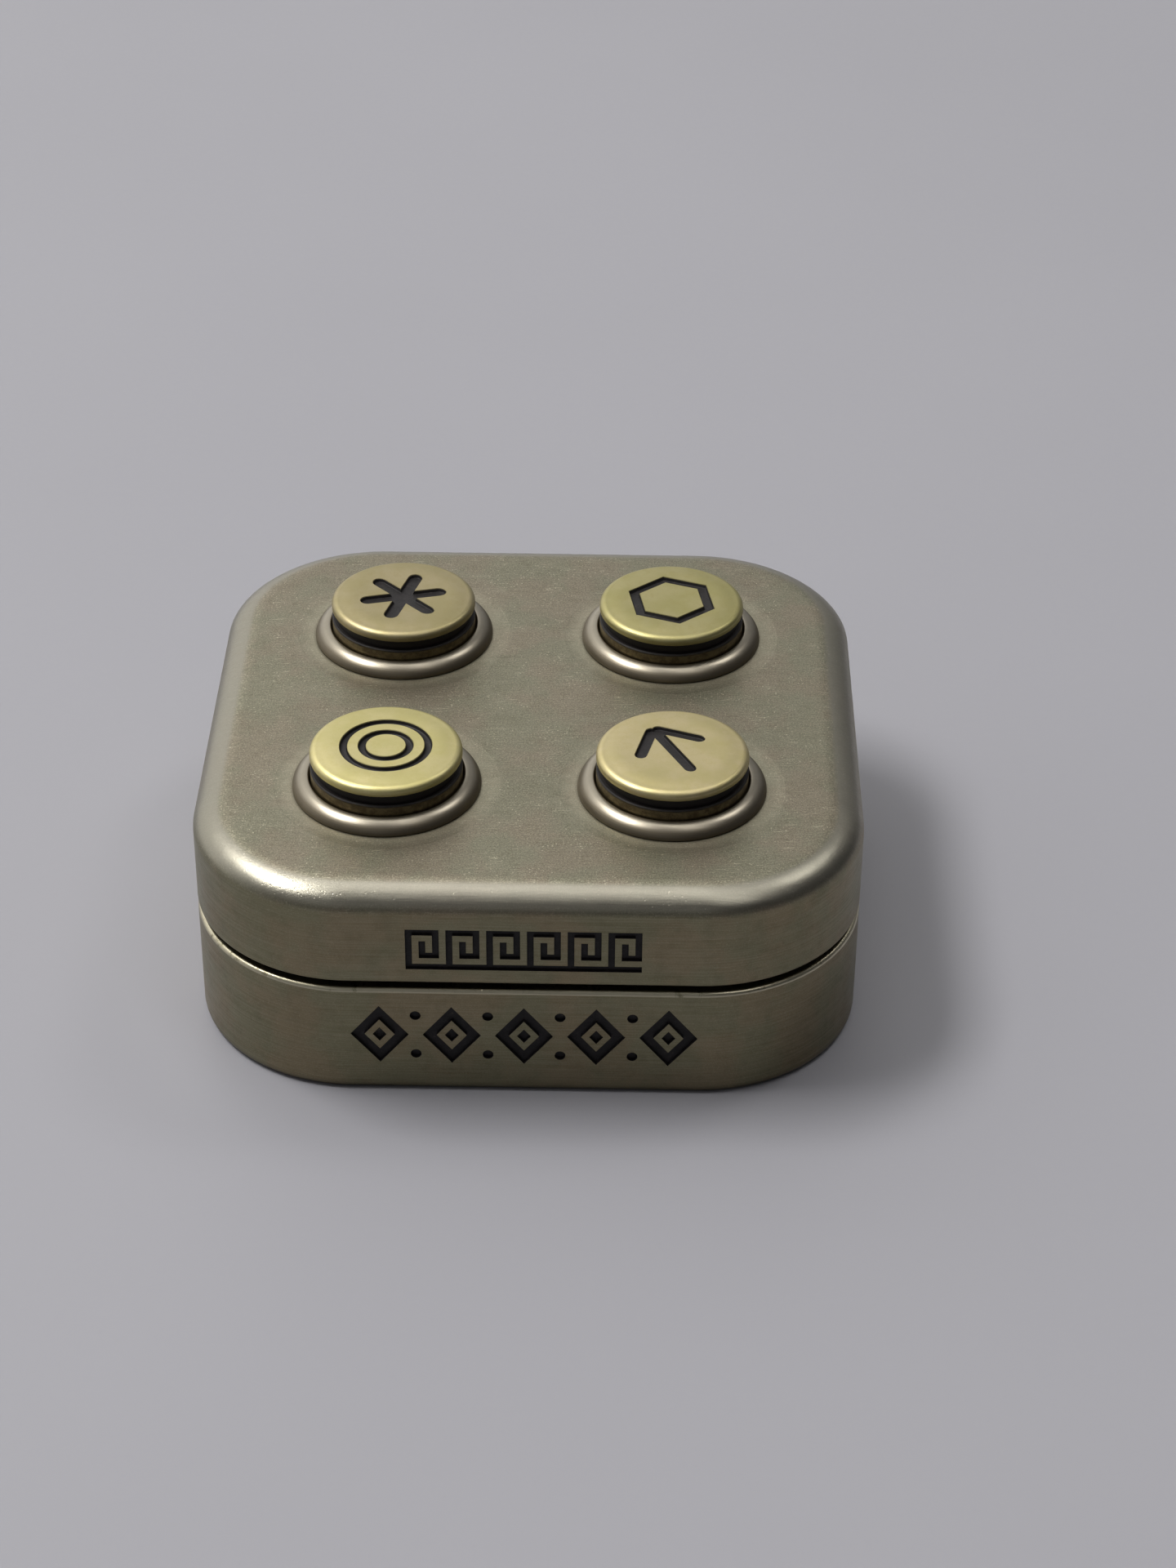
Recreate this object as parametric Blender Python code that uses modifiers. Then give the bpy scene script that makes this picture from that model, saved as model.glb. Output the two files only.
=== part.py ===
"""Magnetic push slider: two square metal halves that slide over each other, with four spring buttons.

The lower half rests on the table. A cross guide slides on it along X, and the upper half slides on
the cross guide along Y. Rows of magnets in both halves hold them together and make the clicks.
Each button presses down against a coil spring and turns freely on its own axis.

Everything is in metres, +Z up. The origin is the centre of the flat underside.
"""

import math

import bmesh
import bpy
from mathutils import Vector

MM = 0.001

# Overall size
BODY_SIDE = 45.0 * MM
CORNER_RADIUS = 11.0 * MM
LOWER_HEIGHT = 8.45 * MM
SEAM_GAP = 0.55 * MM
UPPER_HEIGHT = 7.0 * MM

# Shells
WALL = 2.2 * MM
TOP_WALL = 1.5 * MM
TOP_ROUND = 1.6 * MM
SEAM_CHAMFER = 0.2 * MM
BASE_CHAMFER = 0.6 * MM

# Clearances
SEAT_GAP = 0.05 * MM
FIT_GAP = 0.1 * MM
SLIDE_GAP = 0.1 * MM

# Magnets and the plates that hold them
MAGNET_DIAMETER = 5.0 * MM
MAGNET_THICKNESS = 1.5 * MM
MAGNET_WEB = 1.0 * MM
MAGNETS_PER_SIDE = 3
TRAY_THICKNESS = 2.0 * MM
LOWER_TRACK_THICKNESS = 1.0 * MM
TRACK_RECESS = 0.45 * MM
MAGNET_SKIN = 0.35 * MM
SPRING_PLATE_THICKNESS = 0.4 * MM

# Cross guide
KEY_HEIGHT = 0.4 * MM
KEY_WIDTH = 2.0 * MM
KEY_LENGTH = 14.0 * MM
KEY_INSET = 3.0 * MM
GUIDE_CORNER = 3.0 * MM
GUIDE_SIDE_GAP = 0.3 * MM

# Screws and their bosses
SCREW_INSET = 3.1 * MM
SCREW_LENGTH = 4.0 * MM
SCREW_SHANK_RADIUS = 0.8 * MM
SCREW_HEAD_RADIUS = 1.5 * MM
SCREW_HEAD_HEIGHT = 0.7 * MM
SCREW_SOCKET_RADIUS = 0.6 * MM
SCREW_SOCKET_DEPTH = 0.4 * MM
SCREW_TIP_GAP = 0.3 * MM
BOSS_RADIUS = 1.9 * MM

# Buttons, bezels and springs
BUTTON_PITCH = 19.2 * MM
CAP_RADIUS = 5.13 * MM
CAP_PROUD = 3.05 * MM
CAP_EDGE_REACH = 1.15 * MM
CAP_EDGE_DROP = 0.45 * MM
CAP_ROOF = 1.5 * MM
CAP_DISC_SIDE = 0.75 * MM
GROOVE_HEIGHT = 0.68 * MM
GROOVE_DEPTH = 0.3 * MM
RECESS_RADIUS = 3.6 * MM
FLANGE_THICKNESS = 0.6 * MM
FLANGE_OVERLAP = 0.4 * MM
BEZEL_CLEARANCE = 0.1 * MM
BEZEL_SLEEVE_WALL = 0.5 * MM
BEZEL_BEAD_WIDTH = 1.14 * MM
BEZEL_CREST_ROUND = 0.3 * MM
BEZEL_BEAD_HEIGHT = 0.84 * MM
BEAD_SQUARENESS = 3.0
WASHER_THICKNESS = 0.5 * MM
WASHER_HOLE_RADIUS = 1.4 * MM
SPRING_WIRE_RADIUS = 0.2 * MM
SPRING_MEAN_RADIUS = 2.75 * MM
SPRING_TURNS = 4.5
SPRING_CLOSED_TURNS = 0.75

# Engraved signs on the caps
SIGN_DEPTH = 0.3 * MM
SIGN_REACH = 2.85 * MM
RING_LINE = 0.5 * MM
HEXAGON_LINE = 0.8 * MM
ARROW_LINE = 0.8 * MM
STAR_REACH = 3.1 * MM
STAR_LINE = 1.0 * MM
ARROW_HALF_ANGLE = 42.0

# How finely round shapes are divided
CORNER_STEPS = 6
ROUND_STEPS = 32
MAGNET_STEPS = 16
SCREW_STEPS = 12
COIL_STEPS = 8
KEY_STEPS = 2
SIGN_STEPS = 3

# Levels that follow from the sizes above
CAVITY_SIDE = BODY_SIDE - 2.0 * WALL
CAVITY_CORNER = CORNER_RADIUS - WALL
LOWER_TRACK_TOP = LOWER_HEIGHT - TRACK_RECESS
LOWER_TRACK_BOTTOM = LOWER_TRACK_TOP - LOWER_TRACK_THICKNESS
TRAY_TOP = LOWER_TRACK_BOTTOM - SEAT_GAP
TRAY_BOTTOM = TRAY_TOP - TRAY_THICKNESS
LOWER_FLOOR = TRAY_BOTTOM - SEAT_GAP
UPPER_BOTTOM = LOWER_HEIGHT + SEAM_GAP
UPPER_TOP = UPPER_BOTTOM + UPPER_HEIGHT
UPPER_CEILING = UPPER_TOP - TOP_WALL
UPPER_TRACK_BOTTOM = UPPER_BOTTOM + TRACK_RECESS
GUIDE_BOTTOM = LOWER_TRACK_TOP + SLIDE_GAP
GUIDE_TOP = UPPER_TRACK_BOTTOM - SLIDE_GAP
KEY_GROOVE_DEPTH = KEY_HEIGHT
UPPER_POCKET_FLOOR = UPPER_TRACK_BOTTOM + KEY_GROOVE_DEPTH + MAGNET_SKIN
POCKET_DEPTH = MAGNET_THICKNESS + SEAT_GAP
UPPER_TRACK_TOP = UPPER_POCKET_FLOOR + POCKET_DEPTH
SPRING_PLATE_BOTTOM = UPPER_TRACK_TOP + SEAT_GAP
SPRING_PLATE_TOP = SPRING_PLATE_BOTTOM + SPRING_PLATE_THICKNESS
PLATE_SIDE = CAVITY_SIDE - 2.0 * FIT_GAP
PLATE_CORNER = CAVITY_CORNER - FIT_GAP
MAGNET_PITCH = MAGNET_DIAMETER + MAGNET_WEB
SLIDE_TRAVEL = MAGNET_PITCH
GUIDE_SIDE = CAVITY_SIDE - 2.0 * (SLIDE_TRAVEL + GUIDE_SIDE_GAP)
KEY_OFFSET = GUIDE_SIDE / 2.0 - KEY_INSET
SCREW_OFFSET = CAVITY_SIDE / 2.0 - SCREW_INSET
CAP_TOP = UPPER_TOP + CAP_PROUD
RECESS_TOP = CAP_TOP - CAP_ROOF
FLANGE_TOP = UPPER_CEILING - FIT_GAP
FLANGE_BOTTOM = FLANGE_TOP - FLANGE_THICKNESS
BEZEL_INNER = CAP_RADIUS + BEZEL_CLEARANCE
SLEEVE_OUTER = BEZEL_INNER + BEZEL_SLEEVE_WALL
BORE_RADIUS = SLEEVE_OUTER + SEAT_GAP
FLANGE_RADIUS = SLEEVE_OUTER + FLANGE_OVERLAP
WASHER_TOP = RECESS_TOP - SEAT_GAP
WASHER_BOTTOM = WASHER_TOP - WASHER_THICKNESS
SPRING_BOTTOM = SPRING_PLATE_TOP + SEAT_GAP
SPRING_TOP = WASHER_BOTTOM - SEAT_GAP

# How far a cutter passes through a face, and a round end's share of a slot's width
CUT_MARGIN = 1.0 * MM
ALMOST_HALF = 0.499

BUTTON_PLACES = {
    "front_left": (-1, -1),
    "front_right": (1, -1),
    "back_left": (-1, 1),
    "back_right": (1, 1),
}
SCREW_PLACES = ((1, 0), (0, 1), (-1, 0), (0, -1))


# ---------------------------------------------------------------- scene and materials

def clear_scene():
    """Remove every object of the start-up scene."""
    for found in list(bpy.data.objects):
        bpy.data.objects.remove(found, do_unlink=True)


def new_collection(name):
    """A collection linked to the scene."""
    made = bpy.data.collections.new(name)
    bpy.context.scene.collection.children.link(made)
    return made


def finish(name, colour, roughness, metallic):
    """A plain material with the piece's own colour, roughness and metallic value."""
    material = bpy.data.materials.new(name)
    material.use_nodes = True
    shader = material.node_tree.nodes["Principled BSDF"]
    shader.inputs["Base Color"].default_value = (*colour, 1.0)
    shader.inputs["Roughness"].default_value = roughness
    shader.inputs["Metallic"].default_value = metallic
    material.diffuse_color = (*colour, 1.0)
    return material


clear_scene()
PARTS = new_collection("magnetic_push_slider")
CUTTERS = new_collection("cutters")

SHELL_METAL = finish("aged_nickel_shell", (0.30, 0.28, 0.22), 0.38, 1.0)
BEZEL_METAL = finish("polished_nickel_bezel", (0.42, 0.40, 0.34), 0.22, 1.0)
BUTTON_BRASS = finish("aged_brass_button", (0.48, 0.40, 0.20), 0.30, 1.0)
SLIDE_PLASTIC = finish("black_slide_plastic", (0.03, 0.03, 0.03), 0.45, 0.0)
GUIDE_PLASTIC = finish("white_guide_plastic", (0.80, 0.80, 0.77), 0.40, 0.0)
MAGNET_PLATING = finish("nickel_plated_magnet", (0.66, 0.65, 0.62), 0.18, 1.0)
PLATE_STEEL = finish("zinc_plated_spring_plate", (0.55, 0.56, 0.57), 0.35, 1.0)
SCREW_STEEL = finish("black_oxide_screw", (0.10, 0.10, 0.10), 0.35, 1.0)
SPRING_STEEL = finish("spring_steel_wire", (0.50, 0.50, 0.50), 0.28, 1.0)
WASHER_PLASTIC = finish("white_washer_plastic", (0.82, 0.81, 0.76), 0.42, 0.0)


# ---------------------------------------------------------------- shape helpers

def add_object(name, data, collection, place=(0.0, 0.0, 0.0), material=None, parent=None):
    """Link a mesh or a curve as a named object at its place."""
    made = bpy.data.objects.new(name, data)
    collection.objects.link(made)
    made.location = place
    if material is not None:
        if not data.materials:
            data.materials.append(material)
    if parent is not None:
        made.parent = parent
        made.location = Vector(place) - parent.location
    return made


def add_empty(name, place):
    """An empty that stands on a joint's axis and carries what the joint moves."""
    made = bpy.data.objects.new(name, None)
    PARTS.objects.link(made)
    made.location = place
    made.empty_display_size = CAP_RADIUS
    return made


def as_cutter(shape):
    """Mark an object as a guide that is cut or joined with, and never shown."""
    shape.hide_render = True
    shape.display_type = "WIRE"
    return shape


def mesh_from(bm, name):
    """Write a bmesh to a new mesh."""
    mesh = bpy.data.meshes.new(name)
    bm.to_mesh(mesh)
    bm.free()
    return mesh


def edges_at(bm, level):
    """The outline edges of a block at one height."""
    flat = [edge for edge in bm.edges if all(abs(v.co.z - level) < SEAT_GAP / 100.0 for v in edge.verts)]
    return [edge for edge in flat if any(abs(face.normal.z) < 0.5 for face in edge.link_faces)]


def block_mesh(name, size_x, size_y, corner, bottom, top, top_round=0.0, bottom_round=0.0, round_steps=1,
               corner_steps=CORNER_STEPS):
    """A block with rounded upright corners, and optionally rounded or chamfered rims."""
    bm = bmesh.new()
    bmesh.ops.create_cube(bm, size=1.0)
    bmesh.ops.scale(bm, vec=(size_x, size_y, top - bottom), verts=bm.verts)
    bmesh.ops.translate(bm, vec=(0.0, 0.0, (top + bottom) / 2.0), verts=bm.verts)
    bm.normal_update()
    half_height = (top - bottom) / 2.0
    upright = [edge for edge in bm.edges if abs(edge.verts[0].co.z - edge.verts[1].co.z) > half_height]
    bmesh.ops.bevel(bm, geom=upright, offset=corner, segments=corner_steps, profile=0.5, affect="EDGES")
    for level, offset, steps in ((top, top_round, round_steps), (bottom, bottom_round, 1)):
        if offset > 0.0:
            bm.normal_update()
            bmesh.ops.bevel(bm, geom=edges_at(bm, level), offset=offset, segments=steps, profile=0.5,
                            affect="EDGES")
    bm.normal_update()
    return mesh_from(bm, name)


def disc_mesh(name, radius, bottom, top, steps):
    """A plain cylinder between two heights."""
    bm = bmesh.new()
    bmesh.ops.create_cone(bm, cap_ends=True, segments=steps, radius1=radius, radius2=radius,
                          depth=top - bottom)
    bmesh.ops.translate(bm, vec=(0.0, 0.0, (top + bottom) / 2.0), verts=bm.verts)
    return mesh_from(bm, name)


def add_cutter(name, mesh, place, turn=0.0):
    """A guide for a Boolean modifier, at its place and turned about the upright axis."""
    cutter = as_cutter(add_object(name, mesh, CUTTERS, place))
    cutter.rotation_euler = (0.0, 0.0, turn)
    return cutter


def combine(shape, other, operation="DIFFERENCE"):
    """Cut another object out of a shape, or join it on."""
    change = shape.modifiers.new(operation.lower() + "_" + other.name, "BOOLEAN")
    change.operation = operation
    change.solver = "EXACT"
    change.object = other


def profile_mesh(name, points, closed):
    """A profile in the XZ plane for a Screw modifier; points are (radius, height)."""
    bm = bmesh.new()
    corners = [bm.verts.new((radius, 0.0, height)) for radius, height in points]
    for first, second in zip(corners, corners[1:]):
        bm.edges.new((first, second))
    if closed:
        bm.edges.new((corners[-1], corners[0]))
    return mesh_from(bm, name)


def turned(name, points, steps, place, material, parent, closed=False):
    """A turned piece: the profile runs down its outer side, from top to bottom."""
    shape = add_object(name, profile_mesh(name, points, closed), PARTS, place, material, parent)
    spin = shape.modifiers.new("turn", "SCREW")
    spin.axis = "Z"
    spin.steps = steps
    spin.render_steps = steps
    spin.use_merge_vertices = True
    spin.merge_threshold = 0.000001
    spin.use_smooth_shade = True
    return shape


def arc_points(centre, radii, start, end, steps, squareness=2.0):
    """Points on an arc in the profile plane, both ends included; angles in degrees.

    A squareness of 2 is an ellipse; more than 2 fills its corner.
    """
    points = []
    for step in range(steps + 1):
        angle = math.radians(start + (end - start) * step / steps)
        across, up = (math.copysign(abs(part) ** (2.0 / squareness), part)
                      for part in (math.cos(angle), math.sin(angle)))
        points.append((centre[0] + radii[0] * across, centre[1] + radii[1] * up))
    return points


def square_places(pitch, count):
    """The centres of a square pattern around the origin, row by row."""
    middle = (count - 1) / 2.0
    steps = [(index - middle) * pitch for index in range(count)]
    return [(x, y) for y in steps for x in steps]


MAGNET_PLACES = square_places(MAGNET_PITCH, MAGNETS_PER_SIDE)


# ---------------------------------------------------------------- lower half

def screw_points():
    """The (x, y) places of a half's four screws, at the middles of its sides."""
    return [(side_x * SCREW_OFFSET, side_y * SCREW_OFFSET) for side_x, side_y in SCREW_PLACES]


def screw_bores(prefix, shape, bottom, top, radius):
    """Cut the four screw bores of one piece."""
    mesh = disc_mesh(prefix, radius, bottom, top, SCREW_STEPS)
    for number, (x, y) in enumerate(screw_points(), start=1):
        combine(shape, add_cutter(f"{prefix}_{number}", mesh, (x, y, 0.0)))


def screw_countersinks(prefix, shape, face, inwards):
    """Cut the four countersinks and their through bores; inwards is +1 up or -1 down from the face."""
    wide = SCREW_HEAD_RADIUS + FIT_GAP
    narrow = SCREW_SHANK_RADIUS + FIT_GAP
    bm = bmesh.new()
    depth = SCREW_HEAD_HEIGHT + FIT_GAP
    slope = (wide - narrow) / depth
    over = FIT_GAP
    radius_low = narrow if inwards < 0 else wide + slope * over
    radius_high = wide + slope * over if inwards < 0 else narrow
    bmesh.ops.create_cone(bm, cap_ends=True, segments=SCREW_STEPS, radius1=radius_low, radius2=radius_high,
                          depth=depth + over)
    centre = face + inwards * (depth - over) / 2.0
    bmesh.ops.translate(bm, vec=(0.0, 0.0, centre), verts=bm.verts)
    mesh = mesh_from(bm, prefix)
    for number, (x, y) in enumerate(screw_points(), start=1):
        combine(shape, add_cutter(f"{prefix}_{number}", mesh, (x, y, 0.0)))


def add_screws(prefix, head_face, inwards, parent):
    """Four countersunk screws; the head's flat face lies just inside the plate's own face."""
    tip = -SCREW_LENGTH
    shank_start = -SCREW_HEAD_HEIGHT
    outline = [
        (0.0, -SCREW_SOCKET_DEPTH),
        (SCREW_SOCKET_RADIUS, -SCREW_SOCKET_DEPTH),
        (SCREW_SOCKET_RADIUS, 0.0),
        (SCREW_HEAD_RADIUS, 0.0),
        (SCREW_SHANK_RADIUS, shank_start),
        (SCREW_SHANK_RADIUS, tip),
        (0.0, tip),
    ]
    for number, (x, y) in enumerate(screw_points(), start=1):
        place = (x, y, head_face + inwards * SEAT_GAP)
        screw = turned(f"{prefix}_{number}", outline, SCREW_STEPS, place, SCREW_STEEL, parent)
        if inwards > 0:
            screw.rotation_euler = (math.pi, 0.0, 0.0)


def add_magnets(prefix, bottom, parent):
    """The nine disc magnets of one half."""
    for number, (x, y) in enumerate(MAGNET_PLACES, start=1):
        mesh = disc_mesh(f"{prefix}_{number}", MAGNET_DIAMETER / 2.0, 0.0, MAGNET_THICKNESS, MAGNET_STEPS)
        magnet = add_object(f"{prefix}_{number}", mesh, PARTS, (x, y, bottom), MAGNET_PLATING, parent)
        magnet.data.set_sharp_from_angle(angle=math.radians(40.0))


def magnet_pockets(prefix, shape, bottom, top):
    """Cut the nine magnet pockets of a tray or plate."""
    radius = MAGNET_DIAMETER / 2.0 + FIT_GAP
    mesh = disc_mesh(prefix, radius, bottom, top + CUT_MARGIN, MAGNET_STEPS)
    for number, (x, y) in enumerate(MAGNET_PLACES, start=1):
        combine(shape, add_cutter(f"{prefix}_{number}", mesh, (x, y, 0.0)))


def key_grooves(prefix, shape, bottom, top, along_x):
    """Cut the two grooves that the cross guide's keys run in, with room for the whole travel."""
    length = KEY_LENGTH + 2.0 * (SLIDE_TRAVEL + SLIDE_GAP)
    width = KEY_WIDTH + 2.0 * SLIDE_GAP
    size_x, size_y = (length, width) if along_x else (width, length)
    for number, side in enumerate((-1, 1), start=1):
        place = (0.0, side * KEY_OFFSET, 0.0) if along_x else (side * KEY_OFFSET, 0.0, 0.0)
        mesh = block_mesh(f"{prefix}_{number}", size_x, size_y, width / 4.0, bottom, top,
                          corner_steps=KEY_STEPS)
        combine(shape, add_cutter(f"{prefix}_{number}", mesh, place))


def build_lower_shell():
    """The cup that stands on the table, with four screw bosses on its thick floor."""
    mesh = block_mesh("lower_shell", BODY_SIDE, BODY_SIDE, CORNER_RADIUS, 0.0, LOWER_HEIGHT,
                      SEAM_CHAMFER, BASE_CHAMFER)
    shell = add_object("lower_shell", mesh, PARTS, (0.0, 0.0, 0.0), SHELL_METAL)
    cavity = block_mesh("lower_cavity", CAVITY_SIDE, CAVITY_SIDE, CAVITY_CORNER, LOWER_FLOOR,
                        LOWER_HEIGHT + CUT_MARGIN)
    combine(shell, add_cutter("lower_cavity", cavity, (0.0, 0.0, 0.0)))
    boss = disc_mesh("lower_boss", BOSS_RADIUS, LOWER_FLOOR - CUT_MARGIN, TRAY_TOP, SCREW_STEPS)
    for number, (x, y) in enumerate(screw_points(), start=1):
        combine(shell, add_cutter(f"lower_boss_{number}", boss, (x, y, 0.0)), "UNION")
    tip = LOWER_TRACK_TOP - SEAT_GAP - SCREW_LENGTH
    screw_bores("lower_pilot", shell, tip - SCREW_TIP_GAP, LOWER_HEIGHT, SCREW_SHANK_RADIUS + SEAT_GAP)
    return shell


def build_lower_tray():
    """The moulded tray that holds the lower magnets between the bosses."""
    mesh = block_mesh("lower_magnet_tray", PLATE_SIDE, PLATE_SIDE, PLATE_CORNER, TRAY_BOTTOM, TRAY_TOP)
    tray = add_object("lower_magnet_tray", mesh, PARTS, (0.0, 0.0, 0.0), SLIDE_PLASTIC)
    pocket_floor = TRAY_TOP - POCKET_DEPTH
    magnet_pockets("tray_pocket", tray, pocket_floor, TRAY_TOP)
    screw_bores("tray_bore", tray, TRAY_BOTTOM - CUT_MARGIN, TRAY_TOP + CUT_MARGIN, BOSS_RADIUS + FIT_GAP)
    add_magnets("lower_magnet", pocket_floor + SEAT_GAP / 2.0, None)


def build_lower_track():
    """The slippery plate on the bosses, with two grooves along X."""
    mesh = block_mesh("lower_track_plate", PLATE_SIDE, PLATE_SIDE, PLATE_CORNER, LOWER_TRACK_BOTTOM,
                      LOWER_TRACK_TOP)
    plate = add_object("lower_track_plate", mesh, PARTS, (0.0, 0.0, 0.0), SLIDE_PLASTIC)
    key_grooves("lower_groove", plate, LOWER_TRACK_TOP - KEY_GROOVE_DEPTH, LOWER_TRACK_TOP + CUT_MARGIN, True)
    screw_countersinks("lower_countersink", plate, LOWER_TRACK_TOP, -1)
    screw_bores("lower_track_bore", plate, LOWER_TRACK_BOTTOM - CUT_MARGIN, LOWER_TRACK_TOP + CUT_MARGIN,
                SCREW_SHANK_RADIUS + FIT_GAP)
    add_screws("lower_screw", LOWER_TRACK_TOP, -1, None)


# ---------------------------------------------------------------- cross guide

def build_cross_guide(axis):
    """The thin plate between the halves: keys along X below it, keys along Y above it."""
    mesh = block_mesh("cross_guide", GUIDE_SIDE, GUIDE_SIDE, GUIDE_CORNER, GUIDE_BOTTOM, GUIDE_TOP)
    guide = add_object("cross_guide", mesh, PARTS, (0.0, 0.0, 0.0), GUIDE_PLASTIC, axis)
    middle = (GUIDE_BOTTOM + GUIDE_TOP) / 2.0
    for number, side in enumerate((-1, 1), start=1):
        low = block_mesh(f"low_key_{number}", KEY_LENGTH, KEY_WIDTH, KEY_WIDTH / 4.0,
                         GUIDE_BOTTOM - KEY_HEIGHT, middle, corner_steps=KEY_STEPS)
        high = block_mesh(f"high_key_{number}", KEY_WIDTH, KEY_LENGTH, KEY_WIDTH / 4.0, middle,
                          GUIDE_TOP + KEY_HEIGHT, corner_steps=KEY_STEPS)
        combine(guide, add_cutter(f"low_key_{number}", low, (0.0, side * KEY_OFFSET, 0.0)), "UNION")
        combine(guide, add_cutter(f"high_key_{number}", high, (side * KEY_OFFSET, 0.0, 0.0)), "UNION")


# ---------------------------------------------------------------- upper half

def build_upper_track(axis):
    """The slippery plate with two grooves along Y below and the upper magnets in pockets above."""
    mesh = block_mesh("upper_track_plate", PLATE_SIDE, PLATE_SIDE, PLATE_CORNER, UPPER_TRACK_BOTTOM,
                      UPPER_TRACK_TOP)
    plate = add_object("upper_track_plate", mesh, PARTS, (0.0, 0.0, 0.0), SLIDE_PLASTIC, axis)
    key_grooves("upper_groove", plate, UPPER_TRACK_BOTTOM - CUT_MARGIN, UPPER_TRACK_BOTTOM + KEY_GROOVE_DEPTH,
                False)
    magnet_pockets("upper_pocket", plate, UPPER_POCKET_FLOOR, UPPER_TRACK_TOP)
    screw_countersinks("upper_countersink", plate, UPPER_TRACK_BOTTOM, 1)
    screw_bores("upper_track_bore", plate, UPPER_TRACK_BOTTOM - CUT_MARGIN, UPPER_TRACK_TOP + CUT_MARGIN,
                SCREW_SHANK_RADIUS + FIT_GAP)
    add_magnets("upper_magnet", UPPER_POCKET_FLOOR + SEAT_GAP / 2.0, axis)
    add_screws("upper_screw", UPPER_TRACK_BOTTOM, 1, axis)


def build_spring_plate(axis):
    """The thin steel plate that backs the upper magnets and carries the button springs."""
    mesh = block_mesh("spring_plate", PLATE_SIDE, PLATE_SIDE, PLATE_CORNER, SPRING_PLATE_BOTTOM,
                      SPRING_PLATE_TOP)
    plate = add_object("spring_plate", mesh, PARTS, (0.0, 0.0, 0.0), PLATE_STEEL, axis)
    screw_bores("spring_plate_bore", plate, SPRING_PLATE_BOTTOM - CUT_MARGIN, SPRING_PLATE_TOP + CUT_MARGIN,
                SCREW_SHANK_RADIUS + FIT_GAP)


def build_upper_shell(axis):
    """The cap with four bezel bores in its top, room for the flanges and four screw bosses inside."""
    mesh = block_mesh("upper_shell", BODY_SIDE, BODY_SIDE, CORNER_RADIUS, UPPER_BOTTOM, UPPER_TOP,
                      TOP_ROUND, SEAM_CHAMFER, 3)
    shell = add_object("upper_shell", mesh, PARTS, (0.0, 0.0, 0.0), SHELL_METAL, axis)
    cavity = block_mesh("upper_cavity", CAVITY_SIDE, CAVITY_SIDE, CAVITY_CORNER, UPPER_BOTTOM - CUT_MARGIN,
                        UPPER_CEILING)
    combine(shell, add_cutter("upper_cavity", cavity, (0.0, 0.0, 0.0)))
    boss = disc_mesh("upper_boss", BOSS_RADIUS, SPRING_PLATE_TOP + SEAT_GAP, UPPER_CEILING + TOP_WALL / 2.0,
                     SCREW_STEPS)
    for number, (x, y) in enumerate(screw_points(), start=1):
        combine(shell, add_cutter(f"upper_boss_{number}", boss, (x, y, 0.0)), "UNION")
    tip = UPPER_TRACK_BOTTOM + SEAT_GAP + SCREW_LENGTH
    screw_bores("upper_pilot", shell, UPPER_BOTTOM, tip + SCREW_TIP_GAP, SCREW_SHANK_RADIUS + SEAT_GAP)
    bore = disc_mesh("bezel_bore", BORE_RADIUS, UPPER_CEILING - CUT_MARGIN, UPPER_TOP + CUT_MARGIN,
                     ROUND_STEPS)
    room = disc_mesh("flange_room", FLANGE_RADIUS + FIT_GAP, SPRING_BOTTOM, UPPER_CEILING - SEAT_GAP,
                     ROUND_STEPS)
    for name, (side_x, side_y) in BUTTON_PLACES.items():
        place = button_axis(side_x, side_y, 0.0)
        combine(shell, add_cutter(f"flange_room_{name}", room, place))
        combine(shell, add_cutter(f"bezel_bore_{name}", bore, place))


# ---------------------------------------------------------------- buttons

def button_axis(side_x, side_y, height):
    """A point on a button's axis at one height."""
    return (side_x * BUTTON_PITCH / 2.0, side_y * BUTTON_PITCH / 2.0, height)


def bezel_outline():
    """The bezel's section: a bead with its crest near the button, and a sleeve down the bore."""
    seat = UPPER_TOP + SEAT_GAP
    crest = BEZEL_INNER + BEZEL_CREST_ROUND
    outer_reach = BEZEL_BEAD_WIDTH - BEZEL_CREST_ROUND
    inner_round = arc_points((crest, seat + BEZEL_BEAD_HEIGHT - BEZEL_CREST_ROUND),
                             (BEZEL_CREST_ROUND, BEZEL_CREST_ROUND), 180.0, 90.0, 2)
    outer_round = arc_points((crest, seat), (outer_reach, BEZEL_BEAD_HEIGHT), 90.0, 0.0, 4, BEAD_SQUARENESS)
    bead = inner_round + outer_round[1:]
    sleeve = [
        (SLEEVE_OUTER, seat),
        (SLEEVE_OUTER, UPPER_CEILING),
        (BEZEL_INNER, UPPER_CEILING),
    ]
    return bead + sleeve


def button_outline():
    """The button's section: capped disc, side groove, guided skirt, holding flange and spring recess."""
    disc_bottom = CAP_TOP - CAP_DISC_SIDE
    groove_bottom = disc_bottom - GROOVE_HEIGHT
    edge = arc_points((CAP_RADIUS - CAP_EDGE_REACH, CAP_TOP - CAP_EDGE_DROP), (CAP_EDGE_REACH, CAP_EDGE_DROP),
                      90.0, 0.0, 3)
    lower = [
        (CAP_RADIUS, disc_bottom),
        (CAP_RADIUS - GROOVE_DEPTH, disc_bottom),
        (CAP_RADIUS - GROOVE_DEPTH, groove_bottom),
        (CAP_RADIUS, groove_bottom),
        (CAP_RADIUS, FLANGE_TOP),
        (FLANGE_RADIUS, FLANGE_TOP),
        (FLANGE_RADIUS, FLANGE_BOTTOM),
        (RECESS_RADIUS, FLANGE_BOTTOM),
        (RECESS_RADIUS, RECESS_TOP),
        (0.0, RECESS_TOP),
    ]
    return [(0.0, CAP_TOP)] + edge + lower


def shifted(points, drop):
    """The same section measured down from a new zero height."""
    return [(radius, height - drop) for radius, height in points]


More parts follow.
